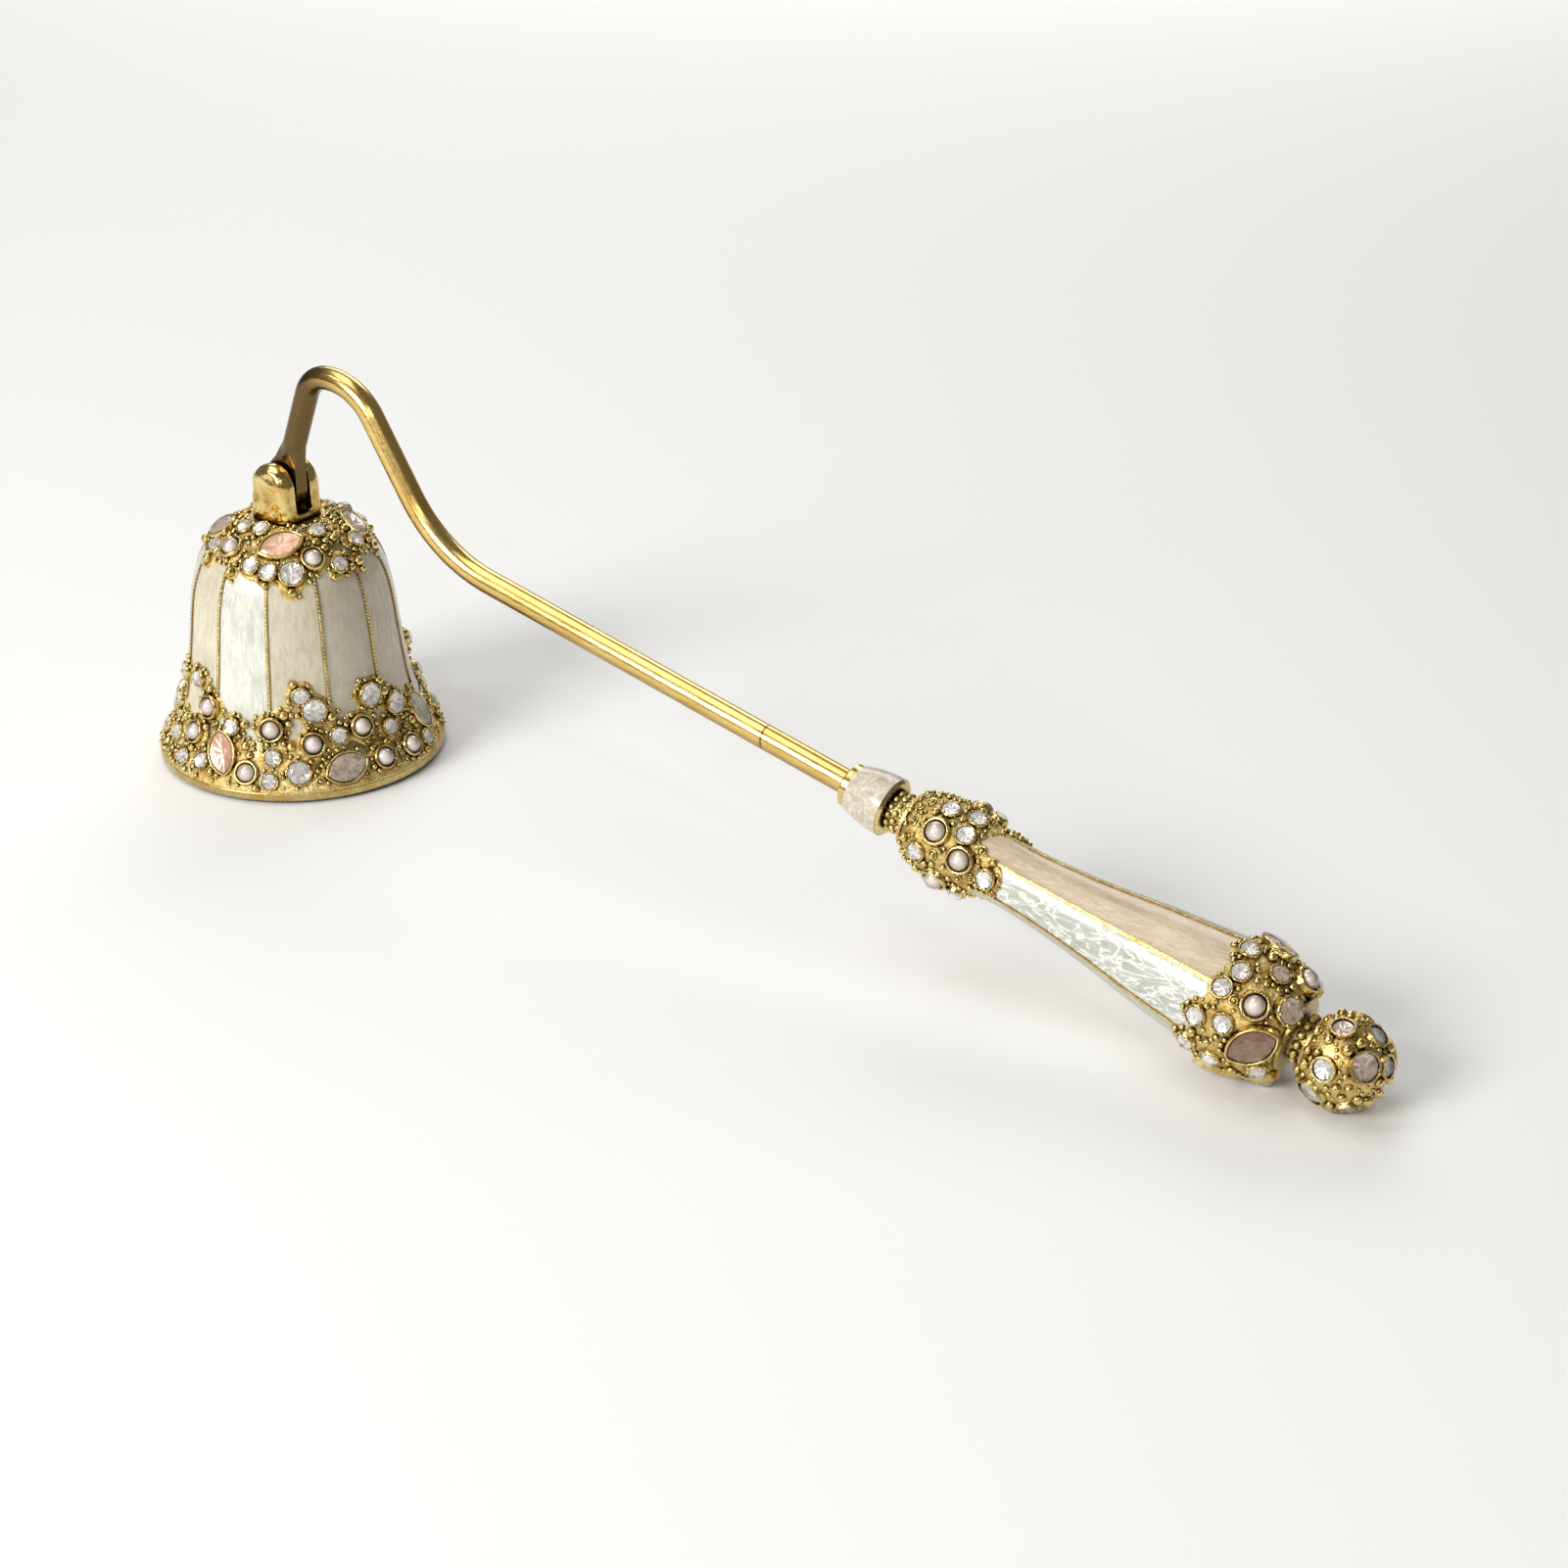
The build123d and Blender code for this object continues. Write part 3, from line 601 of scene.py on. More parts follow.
def foil_material(name, light, dark):
    """Silvered back of a stone, seen through it."""
    g = Graph(name)
    skin = g.stretched()
    g.set(Metallic=0.70, Roughness=0.16)
    g.colour(g.ramp(g.noise(skin, 1.3, 3, 0.6), [(0.40, dark), (0.52, light)]))
    return g.material


cast = gold("gold_cast", rough=(0.20, 0.34), grain=3.4, depth=0.10, crevice=1.1)
ground = gold("gold_ground", rough=(0.22, 0.42), grain=2.2, depth=0.28, crevice=1.0)
bright = gold("gold_bright", rough=(0.10, 0.22), grain=4.0, depth=0.03, crevice=0.7)
shell_gold = gold(
    "gold_shell", rough=(0.18, 0.32), grain=2.4, depth=0.04, crevice=0.9,
    base=(0.55, 0.415, 0.16), pale=(0.68, 0.56, 0.27),
)
hammered = gold("gold_hammered", rough=(0.10, 0.24), grain=1.3, depth=0.05, crevice=1.2)
bead_gold = gold(
    "gold_beads", rough=(0.12, 0.22), grain=4.0, depth=0.03, crevice=0.9, base=(0.77, 0.59, 0.20),
)
rib_gold = gold(
    "gold_ribs", rough=(0.16, 0.28), grain=4.0, depth=0.03, crevice=0.8,
    base=(0.66, 0.50, 0.20), pale=(0.80, 0.66, 0.32),
)
wire = wire_gold()
bell_scale = (1, 1, 0.12)
handle_scale = (0.16, 1, 1)
bell_peach = enamel(
    "enamel_bell_peach", (0.70, 0.65, 0.495), (0.60, 0.54, 0.395), (0.48, 0.415, 0.295),
    bell_scale, 0.0, 0.20, (0.90, 0.85, 0.70),
)
bell_sand = enamel(
    "enamel_bell_sand", (0.60, 0.565, 0.45), (0.535, 0.49, 0.375), (0.44, 0.39, 0.285),
    bell_scale, 0.0, 0.25, (0.72, 0.69, 0.58),
)
bell_white = enamel(
    "enamel_bell_white", (0.76, 0.755, 0.68), (0.655, 0.65, 0.565), (0.52, 0.52, 0.44),
    bell_scale, 0.0, 0.40, (0.95, 0.94, 0.89),
)
handle_peach = enamel(
    "enamel_handle_peach", (0.66, 0.53, 0.385), (0.575, 0.445, 0.305), (0.48, 0.365, 0.245),
    handle_scale, handle_slope, 0.30, (0.92, 0.78, 0.60),
)
handle_sage = enamel(
    "enamel_handle_sage", (0.52, 0.52, 0.46), (0.43, 0.435, 0.375), (0.34, 0.35, 0.29),
    handle_scale, handle_slope, 0.3, (0.66, 0.66, 0.60),
)
handle_white = enamel(
    "enamel_handle_white", (0.62, 0.62, 0.56), (0.49, 0.495, 0.43), (0.37, 0.38, 0.32),
    (0.3, 1, 1), handle_slope, 0.9, (0.93, 0.93, 0.90),
)
ferrule_white = enamel(
    "enamel_ferrule", (0.62, 0.565, 0.45), (0.53, 0.46, 0.34), (0.43, 0.365, 0.265),
    (0.5, 0.7, 0.7), 0.3, 0.6, (0.86, 0.82, 0.72),
)
pearl = pearl_material()
STONES = [
    crystal_material("crystal_clear", (0.92, 0.90, 0.86), 0.30),
    foil_material("foil_silver", (1.0, 0.985, 0.95), (0.50, 0.44, 0.36)),
    crystal_material("crystal_peach", (0.84, 0.50, 0.28), 0.50),
    crystal_material("crystal_pink", (0.80, 0.46, 0.33), 0.50),
    crystal_material("crystal_champagne", (0.66, 0.44, 0.29), 0.32),
    crystal_material("crystal_brown", (0.17, 0.075, 0.035), 0.62),
    crystal_material("crystal_olive", (0.50, 0.50, 0.34), 0.50),
    foil_material("foil_peach", (0.99, 0.80, 0.62), (0.86, 0.56, 0.36)),
]
CLEAR, SILVER, PEACH, PINK, CHAMPAGNE, BROWN, OLIVE, PEACH_FOIL = range(len(STONES))


def dress(name, material):
    """Gives a CAD node its finish."""
    mesh = nodes[name].data
    mesh.materials.clear()
    mesh.materials.append(material)
    for polygon in mesh.polygons:
        polygon.material_index = 0


finishes = {
    "bell_shell": shell_gold,
    "hinge_lug": hammered,
    "hinge_pin": bright,
    "crown_beads": bead_gold,
    "rim_beads": bead_gold,
    "arm_rod": wire,
    "handle_rod": wire,
    "ferrule": bright,
    "ferrule_enamel": ferrule_white,
}
finishes.update(zip(BELL_PANELS, 3 * [bell_peach, bell_white, bell_peach, bell_sand]))
finishes.update(zip(HANDLE_PANELS, 2 * [handle_peach, handle_white, handle_sage]))
for name in nodes:
    dress(name, finishes.get(name, pearl if name.endswith("_pearls") else cast))

# Settings and stones. A stone's back lies FLOOR above the skin that carries it.
# Beads are the sections round a wall, and how far its edge swells in every other one.
FLOOR = 0.3
PEARL_RADIUS = 1.6
PEARL_BEADS = (32, 0.05)
CRYSTAL_BEADS = (24, 0.10)
MARQUISE_BEADS = (64, 0.09)
CRYSTAL_MAINS = 8
MARQUISE_MAINS = 10
LARGE_CRYSTAL = 1.5
CRYSTAL_RISE = 0.12
FINIAL_LIFT = 0.44
PRONG_HEIGHT = 0.80
PRONG_STRETCH = 1.25
PRONG_OFFSET_SHARE = 0.3
PRONG_OUTSET = 0.08
CULET_HEIGHT = 0.02
BEADED_FROM = 0.4
BEAD_SPREAD_SHARE = 0.6


def navette_outline(half_length, half_width):
    """Outline of a pointed oval. Grown moves it outward, and share scales it."""
    radius = (half_length * half_length + half_width * half_width) / (2 * half_width)
    drop = radius - half_width

    def at(angle, grown=0.0, share=1.0):
        x = half_length * math.cos(angle)
        y = max(math.sqrt(radius * radius - x * x) - drop, 0)
        sine = math.sin(angle)
        if abs(sine) > 1e-9:
            side = math.copysign(1, sine)
            way = (x / radius, side * (y + drop) / radius)
        else:
            side = 0
            way = (math.copysign(1.0, x), 0.0)
        return (x + way[0] * grown) * share, (side * y + way[1] * grown) * share

    return at


def round_outline(radius):
    """Outline of a circle, with the same arguments."""

    def at(angle, grown=0.0, share=1.0):
        reach = (radius + grown) * share
        return reach * math.cos(angle), reach * math.sin(angle)

    return at


def cut_stone(outline, mains, top, place):
    """Faceted stone: table, star, kite and girdle facets in front, mark 0, and a pavilion behind, mark 1."""
    depth = top - FLOOR
    rings = (
        (0.56, top, mains, 0.0),
        (0.80, FLOOR + 0.80 * depth, mains, 0.5),
        (1.0, FLOOR + 0.42 * depth, 2 * mains, 0.0),
        (1.0, FLOOR + 0.34 * depth, 2 * mains, 0.0),
        (0.52, FLOOR + 0.14 * depth, mains, 0.5),
    )
    points = []
    starts = []
    for share, height, count, offset in rings:
        starts.append(len(points))
        for k in range(count):
            x, y = outline(2 * math.pi * (k + offset) / count, 0.0, share)
            points.append((x, y, height))
    culet = len(points)
    points.append((0, 0, FLOOR + CULET_HEIGHT))
    table, mid, upper, lower, deep = starts
    faces = [tuple(table + k for k in range(mains))]
    marks = [0]
    for k in range(mains):
        after = (k + 1) % mains
        before = (k - 1) % mains
        high = [upper + (2 * k + j) % (2 * mains) for j in range(3)]
        low = [lower + (2 * k + j) % (2 * mains) for j in range(3)]
        front = [
            (table + k, table + after, mid + k),
            (table + k, mid + k, high[0], mid + before),
            (mid + k, high[1], high[0]),
            (mid + k, high[2], high[1]),
            (high[0], high[1], low[1], low[0]),
            (high[1], high[2], low[2], low[1]),
        ]
        back = [
            (low[0], low[1], deep + k),
            (low[1], low[2], deep + k),
            (low[0], deep + k, culet, deep + before),
        ]
        faces += front + back
        marks += [0] * len(front) + [1] * len(back)
    return placed(points, place), faces, marks


def place_of(seat, lift=0.0):
    """A stone's place with its origin on the skin below it."""
    return frame_at(seat["centre"] - seat["out"] * (FLOOR - lift), seat["out"], seat["long"])


# Walls round pearls, crystals and marquises: how far out of the stone's outline, and how high over the skin.
CUP = [
    (0.85, -0.7), (0.70, 0.1), (0.61, 0.45), (0.60, 0.74), (0.50, 0.95), (0.34, 1.04),
    (0.18, 0.98), (0.09, 0.80), (0.05, 0.55), (0.05, 0.10), (0.20, -0.6),
]
COLLET = [
    (0.55, -0.6), (0.42, 0.1), (0.35, 0.40), (0.34, 0.62), (0.25, 0.78), (0.13, 0.78),
    (0.06, 0.62), (0.05, 0.35), (0.05, 0.0), (0.20, -0.5),
]
BEZEL = [
    (0.78, -0.6), (0.64, 0.1), (0.55, 0.42), (0.53, 0.68), (0.43, 0.85), (0.29, 0.90),
    (0.16, 0.83), (0.08, 0.62), (0.05, 0.30), (0.10, -0.5),
]


def grown_ring(pieces, seat, outline, profile, beads, lift=0.0):
    """Setting wall round a stone, lightly beaded above BEADED_FROM."""
    steps, ripple = beads
    points = []
    for step in range(steps):
        angle = 2 * math.pi * step / steps
        swell = ripple * (1 if step % 2 else -1)
        for grown, height in profile:
            top = max(0.0, height - BEADED_FROM)
            x, y = outline(angle, grown + swell * top * BEAD_SPREAD_SHARE)
            points.append((x, y, height + swell * top))
    pieces.add(placed(points, place_of(seat, lift)), ring_faces(steps, len(profile)))


def prongs(pieces, seat, count, size):
    """Small claws over a crystal's edge."""
    axes, origin = place_of(seat)
    radius = seat["length"] + PRONG_OUTSET
    for k in range(count):
        angle = 2 * math.pi * (k + PRONG_OFFSET_SHARE) / count
        spot = np.array((radius * math.cos(angle), radius * math.sin(angle), PRONG_HEIGHT)) @ axes + origin
        claw = BALL_POINTS * (size, size, size * PRONG_STRETCH)
        pieces.add(claw @ axes + spot, BALL_FACES)


# Finishes of front and back: of the coloured crystals, and of the marquises, which follow a pattern.
TINTED_CRYSTALS = {"rear_bulb": (2, 11, 18, 19), "finial": (0, 8)}
MARQUISE_PATTERNS = {
    "crown": [(PEACH, PEACH_FOIL), (CHAMPAGNE, SILVER)],
    "rim": [(PINK, PEACH_FOIL), (CHAMPAGNE, SILVER), (OLIVE, SILVER)],
    "rear_bulb": [(BROWN, PEACH_FOIL), (CHAMPAGNE, SILVER)],
}


def stone_marks(prefix, kind, number):
    """Front and back finish of a stone. The pattern starts again on the far side."""
    if kind == "crystals":
        return (CHAMPAGNE if number in TINTED_CRYSTALS.get(prefix, ()) else CLEAR, SILVER)
    pattern = MARQUISE_PATTERNS[prefix]
    repeat = len(zones[prefix][kind]) // 2
    return pattern[number % repeat % len(pattern)]


def set_crystal(settings, prefix, seat):
    """Wall and claws round a crystal. Those in the finial's cast cups have no claws.

    Gives the stone's outline, the number of its main facets and the height of its table.
    """
    outline = round_outline(seat["length"])
    if prefix == "finial":
        grown_ring(settings, seat, outline, COLLET, CRYSTAL_BEADS, FINIAL_LIFT)
    else:
        grown_ring(settings, seat, outline, COLLET, CRYSTAL_BEADS)
        count, size = (6, 0.30) if seat["length"] > LARGE_CRYSTAL else (4, 0.25)
        prongs(settings, seat, count, size)
    return outline, CRYSTAL_MAINS, FLOOR + seat["height"] + CRYSTAL_RISE


def set_marquise(settings, seat):
    """Wall round a marquise. Gives the same as set_crystal."""
    outline = navette_outline(seat["length"], seat["width"])
    grown_ring(settings, seat, outline, BEZEL, MARQUISE_BEADS)
    return outline, MARQUISE_MAINS, FLOOR + seat["height"]


def jewel(prefix, kinds):
    """All settings and cut stones of a zone."""
    body = BODY_OF[prefix]
    settings = Pieces()
    for seat in kinds.get("pearls", []):
        grown_ring(settings, seat, round_outline(PEARL_RADIUS), CUP, PEARL_BEADS)
    for kind in ("crystals", "marquises"):
        stones = Pieces()
        for number, seat in enumerate(kinds.get(kind, [])):
            if kind == "crystals":
                outline, mains, top = set_crystal(settings, prefix, seat)
            else:
                outline, mains, top = set_marquise(settings, seat)
            points, faces, sides = cut_stone(outline, mains, top, place_of(seat))
            finishes = stone_marks(prefix, kind, number)
            stones.add(points, faces, [finishes[side] for side in sides])
        if stones.points:
            made = stones.build(f"{prefix}_cut_{kind}", body, STONES, smooth=False)
            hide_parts(f"{prefix}_{kind}")
    made = settings.build(f"{prefix}_mounts", body, [bright])
    if f"{prefix}_settings" in nodes:
        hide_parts(f"{prefix}_settings")


for prefix, kinds in zones.items():
    jewel(prefix, kinds)

# Worked gold ground, granules and scrolls between the stones.
PEARL_REACH = 2.35
CRYSTAL_MARGIN = 0.45
MARQUISE_MARGIN = 0.62
MARQUISE_SHIFT_SHARES = (-0.62, -0.3, 0.0, 0.3, 0.62)
MARQUISE_TAPER_SHARE = 0.75
GRAIN_REACH = 0.95
GROUND_SPACING = 0.30
GROUND_RISE = 0.26
GROUND_SLOPE = 0.75
GROUND_SUNK = 0.35
GROUND_WORKED = 0.13
GROUND_MARGIN = 0.75
GROUND_WANDER = 0.55
BAND_WANDER = 1.3
COARSE_SHARE = 0.6
GRANULE_SIZES = (0.30, 0.54)
GRANULE_END_GAP = 0.3
GRANULE_OUTSIDE = 0.10
GRANULE_LIFT_SHARE = 0.25
LARGE_GRANULE_SCALE = 1.5
LARGE_GRANULE_PART = 12
SETTING_GAP_SHARE = 0.55
NEIGHBOUR_GAP_SHARE = 0.92
SCROLL_REACH = 0.85
SCROLL_END_GAP = 0.8
SCROLL_INSIDE = 0.25
SCROLL_POINTS = 15
SCROLL_TURN = 520
SCROLL_SIDES = 6
SCROLL_BALL = 0.27
SCROLL_BALL_HEIGHT = 0.42

# Coil radius, height and wire radius of a scroll: each at its start, and the change to its end.
SCROLL_SHAPE = ((0.82, -0.60), (0.30, 0.10), (0.20, -0.06))

# Noises on a skin: the size of their waves, and a shift that sets them apart.
MARGIN_NOISE = (1.9, 0.0)
BAND_NOISE = (2.3, 5.0)
FINE_NOISE = (0.55, 3.0)
COARSE_NOISE = (0.95, 9.0)
RIB_NOISE = (1.4, 2.0)
LUG_NOISE = (1.3, 4.0)


def obstacles(prefixes):
    """Centre on the skin and reach of every setting in some zones. A marquise takes five balls."""
    out = []
    for prefix in prefixes:
        for kind, found in zones[prefix].items():
            for seat in found:
                base = seat["centre"] - seat["out"] * FLOOR
                if kind == "marquises":
                    for shift in MARQUISE_SHIFT_SHARES:
                        reach = MARQUISE_MARGIN + seat["width"] * (1 - MARQUISE_TAPER_SHARE * abs(shift))
                        out.append((*(base + seat["long"] * seat["length"] * shift), reach))
                elif kind == "pearls":
                    out.append((*base, PEARL_REACH))
                else:
                    out.append((*base, seat["length"] + CRYSTAL_MARGIN))
    return np.array(out)


def grain_noise(point, kind):
    """Smooth noise between -1 and 1 at a point, of one of the kinds above."""
    size, shift = kind
    return noise.noise(Vector(np.asarray(point) / size + shift))


def clearance(point, stones):
    """How far a point lies outside the nearest setting."""
    return (np.linalg.norm(stones[:, :3] - point, axis=1) - stones[:, 3]).min()


def crowded(point, size, taken, share):
    """True where a ball would come too near one that is already set."""
    return any(np.linalg.norm(point - other) < (size + reach) * share for other, reach in taken)


def field(point, stones, band):
    """Above 0 where the gold ground lies on the skin at a point, in millimetres from its edge."""
    margin = GROUND_MARGIN + GROUND_WANDER * grain_noise(point, MARGIN_NOISE)
    return max(margin - clearance(point, stones), band + BAND_WANDER * grain_noise(point, BAND_NOISE))


def relief(name, skin, start, end, band_of, stones, body):
    """Gold ground that rises smoothly out of the skin round the stones, with a worked surface."""
    rows = int((end - start) / GROUND_SPACING)
    widest = max(skin.radius_at(start + (end - start) * k / rows) for k in range(rows + 1))
    columns = int(2 * math.pi * widest / GROUND_SPACING)
    points = []
    for row in range(rows + 1):
        run = start + (end - start) * row / rows
        fade = min(1.0, row / 2, (rows - row) / 2)
        for column in range(columns):
            point, normal = skin.at(360 * column / columns, run)
            inside = field(point, stones, band_of(run, point))
            lift = min(GROUND_RISE, max(-GROUND_SUNK, inside * GROUND_SLOPE))
            if lift > 0:
                worked = grain_noise(point, FINE_NOISE) + COARSE_SHARE * grain_noise(point, COARSE_NOISE)
                lift += GROUND_WORKED * worked * min(1.0, inside)
            points.append(point + normal * (lift * fade - GROUND_SUNK * (1 - fade)))
    faces = []
    for row in range(rows):
        for column in range(columns):
            a, b = row * columns + column, row * columns + (column + 1) % columns
            faces.append((a, b, b + columns, a + columns))
    made = new_object(name, points, faces, body)
    made.data.materials.append(ground)


def scroll(pieces, skin, turn, run, first, hand):
    """Coil of fine wire that winds in and rises, with a ball on its end."""
    line = []
    radii = []
    for k in range(SCROLL_POINTS):
        share = k / (SCROLL_POINTS - 1)
        angle = math.radians(first + hand * SCROLL_TURN * share)
        reach, height, radius = [begin + change * share for begin, change in SCROLL_SHAPE]
        across = math.degrees(reach * math.cos(angle) / skin.radius_at(run))
        spot, up = skin.at(turn + across, run + reach * math.sin(angle))
        line.append(spot + up * height)
        radii.append(radius)
    pieces.add(*tube(line, radii, SCROLL_SIDES))
    spot, up = skin.at(turn, run)
    pieces.add_ball(spot + up * SCROLL_BALL_HEIGHT, SCROLL_BALL)


def granules(name, skin, start, end, band_of, stones, body, seed, tries, scrolls):
    """Granules and small wire scrolls on the ground between the stones."""
    rng = random.Random(seed)
    pieces = Pieces()
    taken = []

    def free(point, reach):
        if clearance(point, stones) < reach * SETTING_GAP_SHARE:
            return False
        return not crowded(point, reach, taken, NEIGHBOUR_GAP_SHARE)

    for _ in range(scrolls):
        turn, run = rng.uniform(0, 360), rng.uniform(start + SCROLL_END_GAP, end - SCROLL_END_GAP)
        hand, first = rng.choice((-1, 1)), rng.uniform(0, 360)
        point, _ = skin.at(turn, run)
        inside = field(point, stones, band_of(run, point))
        if inside < SCROLL_INSIDE or not free(point, SCROLL_REACH):
            continue
        taken.append((point, SCROLL_REACH))
        scroll(pieces, skin, turn, run, first, hand)
    for trial in range(tries):
        turn, run = rng.uniform(0, 360), rng.uniform(start + GRANULE_END_GAP, end - GRANULE_END_GAP)
        size = rng.uniform(*GRANULE_SIZES)
        if trial < tries // LARGE_GRANULE_PART:
            size *= LARGE_GRANULE_SCALE
        point, normal = skin.at(turn, run)
        inside = field(point, stones, band_of(run, point))
        if inside < -GRANULE_OUTSIDE or not free(point, size):
            continue
        taken.append((point, size))
        lift = min(GROUND_RISE, max(0.0, inside * GROUND_SLOPE)) + size * GRANULE_LIFT_SHARE
        pieces.add_ball(point + normal * lift, size)
    pieces.build(name, body, [bead_gold])


def handle_turn(point):
    """Turn of a point about the handle's axis, in degrees."""
    away = np.asarray(point) - handle_front
    return math.degrees(math.atan2(away @ handle_skin.side, away @ handle_skin.up))


# Edges of the solid gold bands. Past them, gold lies only round the stones.
BELL_BAND_SLOPE = 0.8
HANDLE_BAND_SLOPE = 0.7
TONGUE_LENGTH = 2.6
TONGUES = 3
TONGUE_TURN = 21
crown_edge = bell_skin.run_at(41.2)
rim_edge = bell_skin.run_at(4.4)
front_edge = handle_skin.run_at(27.2)
rear_edge = handle_skin.run_at(65.9)


def crown_band(run, point):
    return (run - crown_edge) * BELL_BAND_SLOPE


def rim_band(run, point):
    return (rim_edge - run) * BELL_BAND_SLOPE


def front_band(run, point):
    """Reaches far over the white fields and stops early on the peach ones."""
    tongue = TONGUE_LENGTH * math.cos(math.radians(TONGUES * (handle_turn(point) - TONGUE_TURN)))
    return (front_edge - tongue - run) * HANDLE_BAND_SLOPE


def rear_band(run, point):
    return (run - rear_edge) * HANDLE_BAND_SLOPE


bell_stones = obstacles(["crown", "rim"])
grains = islands("crown_beads") + islands("rim_beads")
grain_rows = np.array([(*points.mean(0), GRAIN_REACH) for points, _ in grains])
bell_stones = np.concatenate([bell_stones, grain_rows])
BELL_MIDDLE = 28
crown_stones = bell_stones[bell_stones[:, 2] > BELL_MIDDLE]
rim_stones = bell_stones[bell_stones[:, 2] <= BELL_MIDDLE]
handle_stones = obstacles(["front_bulb", "rear_bulb"])

CROWN_END_GAP = 0.2
crown_from, crown_to = bell_skin.run_at(33.5), bell_skin.length - CROWN_END_GAP
rim_from, rim_to = bell_skin.run_at(1.5), bell_skin.run_at(20.5)
rim_granules_from = bell_skin.run_at(2.3)
front_from, front_to = handle_skin.run_at(12.6), handle_skin.run_at(32.5)
rear_from, rear_to = handle_skin.run_at(61.5), handle_skin.run_at(76.7)

crown = (crown_band, crown_stones, "bell")
rim = (rim_band, rim_stones, "bell")
front = (front_band, handle_stones, "arm")
rear = (rear_band, handle_stones, "arm")
relief("crown_ground", bell_skin, crown_from, crown_to, *crown)
relief("rim_ground", bell_skin, rim_from, rim_to, *rim)
relief("front_bulb_ground", handle_skin, front_from, front_to, *front)
relief("rear_bulb_ground", handle_skin, rear_from, rear_to, *rear)
granules("crown_granules", bell_skin, crown_from, crown_to, *crown, seed=11, tries=2600, scrolls=160)
granules("rim_granules", bell_skin, rim_granules_from, rim_to, *rim, seed=12, tries=5200, scrolls=400)
granules("front_bulb_granules", handle_skin, front_from, front_to, *front, seed=13, tries=1500, scrolls=120)
granules("rear_bulb_granules", handle_skin, rear_from, rear_to, *rear, seed=14, tries=1200, scrolls=70)

# Beaded ribs between the enamel fields.
RIB_LIFT = 0.06
RIB_OVERLAP = 0.25
RIB_SHORTEST = 5
RIB_SIDES = 8
RIB_WANDER = 0.14
RIB_NECK_SHARE = 0.36
STEPS_PER_BEAD = 4
HANDLE_RIB_TURN = -9


def ribs(name, skin, turns, start, end, stones, body, size, pitch):
    """Thin beaded wire along each rib, broken where a setting stands on it."""
    pieces = Pieces()
    step = pitch / STEPS_PER_BEAD
    count = int((end - start) / step)
    for turn in turns:
        line = []
        radii = []
        for k in range(count + 1):
            point, normal = skin.at(turn, start + step * k)
            if clearance(point, stones) > -RIB_OVERLAP and k < count:
                line.append(point + normal * RIB_LIFT)
                neck = 0.5 - 0.5 * math.cos(2 * math.pi * k / STEPS_PER_BEAD)
                wander = 1 + RIB_WANDER * grain_noise(point, RIB_NOISE)
                radii.append(size * wander * (1 - RIB_NECK_SHARE * neck))
            else:
                if len(line) > RIB_SHORTEST:
                    pieces.add(*tube(line, radii, RIB_SIDES))
                line, radii = [], []
    pieces.build(name, body, [rib_gold])


bell_turns = [360 * k / BELL_FIELDS for k in range(BELL_FIELDS)]
handle_turns = [360 * k / HANDLE_FIELDS + HANDLE_RIB_TURN for k in range(HANDLE_FIELDS)]
bell_run = (bell_skin.run_at(4.5), bell_skin.run_at(40.0))
handle_run = (handle_skin.run_at(24.2), handle_skin.run_at(67.0))
ribs("bell_ribs", bell_skin, bell_turns, *bell_run, bell_stones, "bell", size=0.31, pitch=0.66)
ribs("handle_ribs", handle_skin, handle_turns, *handle_run, handle_stones, "arm", size=0.18, pitch=0.42)

# Hammered hinge lug, with the pin's riveted ends worked into its faces.
RIVET_SCALE = 1.2
RIVET_INSET = 1.2
RIVET_LENGTH = 2.3
LUG_VOXEL = 0.28
SLOT_HALF_WIDTH = 2.1
SLOT_FLOOR_RISE = 1.5
DENT_SPACING = 2.9
DENT_SHIFT = 0.4
DENT_DEPTH = 0.40
DENT_REACH_SHARE = 0.6
DENT_POWER = 1.3
LUG_WAVE = 0.05
RIVET_RISE = 0.10
RIVET_EDGE = 1.5
RIVET_BLEND = 0.9


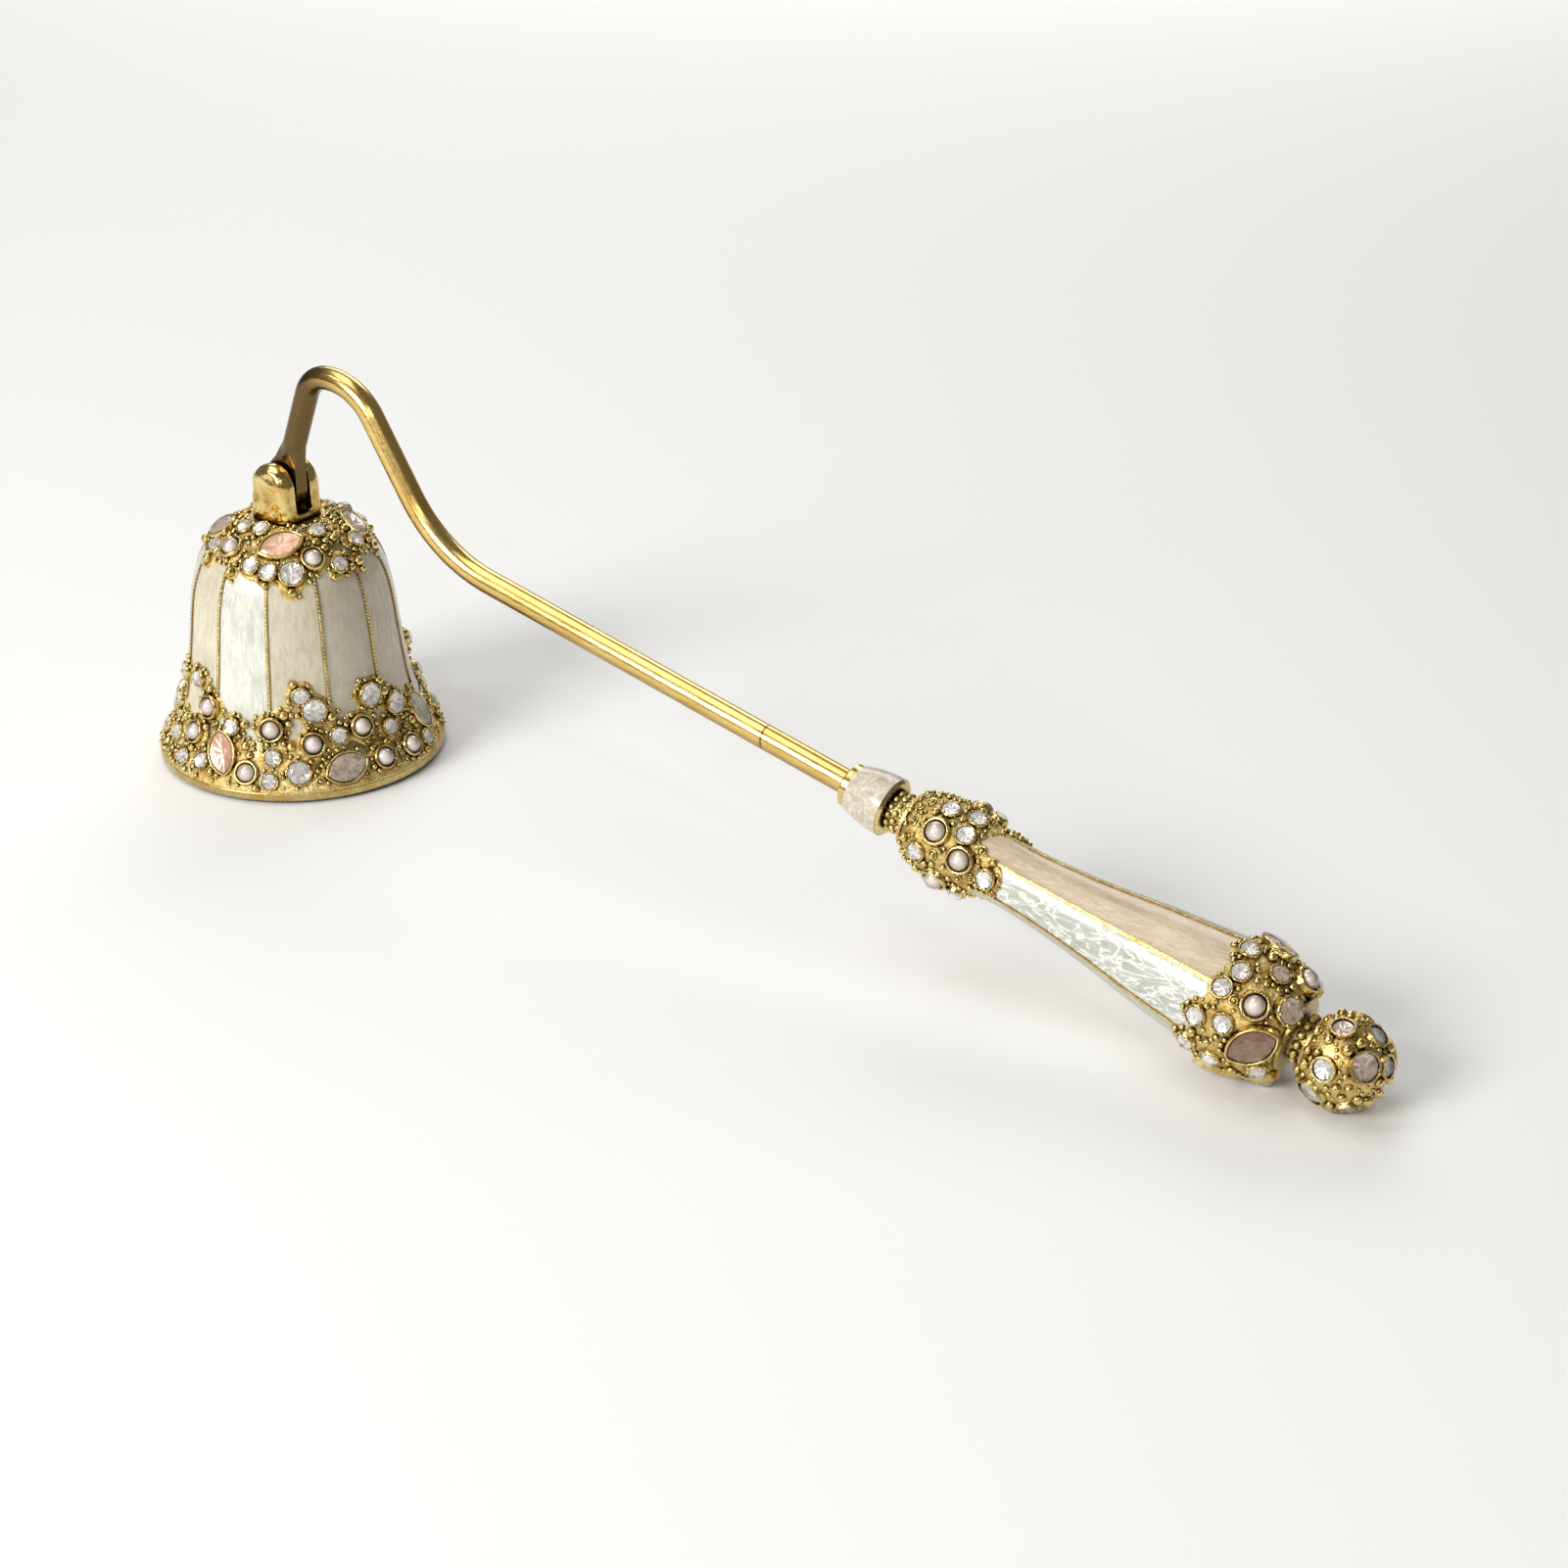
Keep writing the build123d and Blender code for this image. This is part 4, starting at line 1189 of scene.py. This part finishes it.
def worked_lug():
    """The lug as a soft hammered block: rounded all over, with shallow dents on its outer faces."""
    rough = nodes["hinge_lug"].data.copy()
    pin_low, pin_high = [np.array(v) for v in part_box("hinge_pin")]
    middle = (pin_low + pin_high) / 2
    radius = RIVET_SCALE * (pin_high - pin_low)[0] / 2
    turn = Matrix.Rotation(math.radians(90), 4, "X")
    bm = bmesh.new()
    bm.from_mesh(rough)
    for side in (-1, 1):
        spot = Vector(middle + np.array((0, side * (pin_high[1] - RIVET_INSET * MM), 0)))
        bmesh.ops.create_cone(
            bm, cap_ends=True, segments=32, radius1=radius, radius2=radius, depth=RIVET_LENGTH * MM,
            matrix=Matrix.Translation(spot) @ turn,
        )
    bm.to_mesh(rough)
    bm.free()
    holder = in_scene("lug_rough", rough)
    remesh = holder.modifiers.new("remesh", "REMESH")
    remesh.mode = "VOXEL"
    remesh.voxel_size = LUG_VOXEL * MM
    soften = holder.modifiers.new("soften", "SMOOTH")
    soften.factor = 0.5
    soften.iterations = 9
    bpy.context.view_layer.update()
    seen = holder.evaluated_get(bpy.context.evaluated_depsgraph_get())
    mesh = bpy.data.meshes.new_from_object(seen)
    bpy.data.objects.remove(holder)
    points = []
    for vertex in mesh.vertices:
        point = np.array(vertex.co) / MM
        in_slot = abs(point[1]) < SLOT_HALF_WIDTH and point[2] > crown_seat_height + SLOT_FLOOR_RISE
        if not in_slot:
            nearest = noise.voronoi(Vector(point / DENT_SPACING + DENT_SHIFT))[0][0]
            dent = max(0.0, 1 - nearest / DENT_REACH_SHARE) ** DENT_POWER
            wave = LUG_WAVE * grain_noise(point, LUG_NOISE)
            from_pin = math.hypot(point[0], point[2] - PIN_HEIGHT)
            calm = min(1.0, max(0.0, (from_pin - RIVET_EDGE) / RIVET_BLEND))
            rise = RIVET_RISE * (1 - calm) + calm * (wave - DENT_DEPTH * dent)
            point = point + np.array(vertex.normal) * rise
        points.append(point)
    faces = [tuple(polygon.vertices) for polygon in mesh.polygons]
    made = new_object("hammered_lug", points, faces, "bell")
    made.data.materials.append(hammered)
    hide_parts("hinge_lug")


worked_lug()

# Finial granules: large ones first, and fine ones between them.
FINIAL_SKIN_RADIUS = 6.40
FINIAL_TRIES = 900
FINIAL_LARGE_TRIES = 260
FINIAL_SPAN = (-0.68, 0.97)
FINIAL_LARGE_SIZES = (0.62, 0.92)
FINIAL_FINE_SIZES = (0.24, 0.50)
FINIAL_SEAT_LIFT = 0.45
FINIAL_SEAT_MARGIN = 0.42
FINIAL_GAP_SHARE = 0.98
FINIAL_LIFT_SHARE = 0.12
TABLE_GAP = 1.3


def finial_granules():
    rng = random.Random(21)
    pieces = Pieces()
    stones = np.array([
        (*(seat["centre"] + seat["out"] * FINIAL_SEAT_LIFT), seat["length"] + FINIAL_SEAT_MARGIN)
        for seat in zones["finial"]["crystals"]
    ])
    sideways = np.array((0, -1.0, 0))
    taken = []
    for trial in range(FINIAL_TRIES):
        z = rng.uniform(*FINIAL_SPAN)
        turn = rng.uniform(0, 2 * math.pi)
        size = rng.uniform(*(FINIAL_LARGE_SIZES if trial < FINIAL_LARGE_TRIES else FINIAL_FINE_SIZES))
        flat = math.sqrt(1 - z * z)
        way = handle_up * flat * math.cos(turn) + sideways * flat * math.sin(turn) + handle_axis * z
        point = finial_centre + way * FINIAL_SKIN_RADIUS
        if clearance(point, stones) < size * SETTING_GAP_SHARE or point[2] < TABLE_GAP:
            continue
        if crowded(point, size, taken, FINIAL_GAP_SHARE):
            continue
        taken.append((point, size))
        pieces.add_ball(point + way * size * FINIAL_LIFT_SHARE, size)
    pieces.build("finial_granules", "arm", [bead_gold])


finial_granules()

# Camera, floor and light, in metres.
CAMERA_PLACE = (0.30864, -0.29543, 0.19762)
ELEVATION, AZIMUTH, ROLL = math.radians(26.04), math.radians(34.61), math.radians(-0.89)
forward = np.array((
    -math.sin(AZIMUTH) * math.cos(ELEVATION),
    math.cos(AZIMUTH) * math.cos(ELEVATION),
    -math.sin(ELEVATION),
))
level = np.array((math.cos(AZIMUTH), math.sin(AZIMUTH), 0.0))
plumb = np.cross(forward, level)
right = math.cos(ROLL) * level + math.sin(ROLL) * plumb
down = -math.sin(ROLL) * level + math.cos(ROLL) * plumb
turned = Matrix(np.array((right, -down, -forward)).T.tolist()).to_4x4()
camera = in_scene("camera", bpy.data.cameras.new("camera"))
camera.matrix_world = Matrix.Translation(CAMERA_PLACE) @ turned
camera.data.sensor_width = 36
camera.data.lens = 59.15
camera.data.clip_start = 0.01
bpy.context.scene.camera = camera
bpy.context.scene.view_settings.view_transform = "Standard"

FLOOR_HALF = 3.0
FLOOR_DROP = 0.0001
floor_mesh = bpy.data.meshes.new("floor")
floor_corners = [(x * FLOOR_HALF, y * FLOOR_HALF, 0) for x, y in ((-1, -1), (1, -1), (1, 1), (-1, 1))]
floor_mesh.from_pydata(floor_corners, [], [(0, 1, 2, 3)])
floor = in_scene("floor", floor_mesh)
floor.location = (0, 0, -FLOOR_DROP)
floor_graph = Graph("floor")
floor_graph.set(Base_Color=(0.93, 0.93, 0.92, 1), Roughness=0.75)
floor_mesh.materials.append(floor_graph.material)

world = bpy.data.worlds.new("studio")
bpy.context.scene.world = world
world.use_nodes = True
fill(world.node_tree.nodes["Background"], Color=(1, 0.94, 0.86, 1), Strength=0.17)


def softbox(name, place, target, size, power):
    """Rectangular lamp that looks at a target."""
    data = bpy.data.lights.new(name, "AREA")
    data.shape = "RECTANGLE"
    data.size, data.size_y = size
    data.energy = power
    lamp = in_scene(name, data)
    lamp.location = place
    lamp.rotation_euler = (Vector(target) - Vector(place)).to_track_quat("-Z", "Y").to_euler()


SPARKS = {
    "spark_left": (-0.45, -0.55, 0.75),
    "spark_near": (0.45, -0.80, 0.62),
    "spark_right": (0.62, -0.55, 0.75),
}
softbox("key", (-0.11, -0.93, 0.52), target=(0.05, 0, 0.02), size=(0.45, 0.35), power=8.9)
softbox("top", (-0.22, -0.10, 1.0), target=(0.06, 0, 0.02), size=(0.8, 0.5), power=3.0)
for name, place in SPARKS.items():
    softbox(name, place, target=(0.08, 0, 0.02), size=(0.07, 0.07), power=0.55)
softbox("far_floor", (-0.9, 1.4, 1.0), target=(-0.9, 1.4, 0), size=(1.6, 1.2), power=20.0)
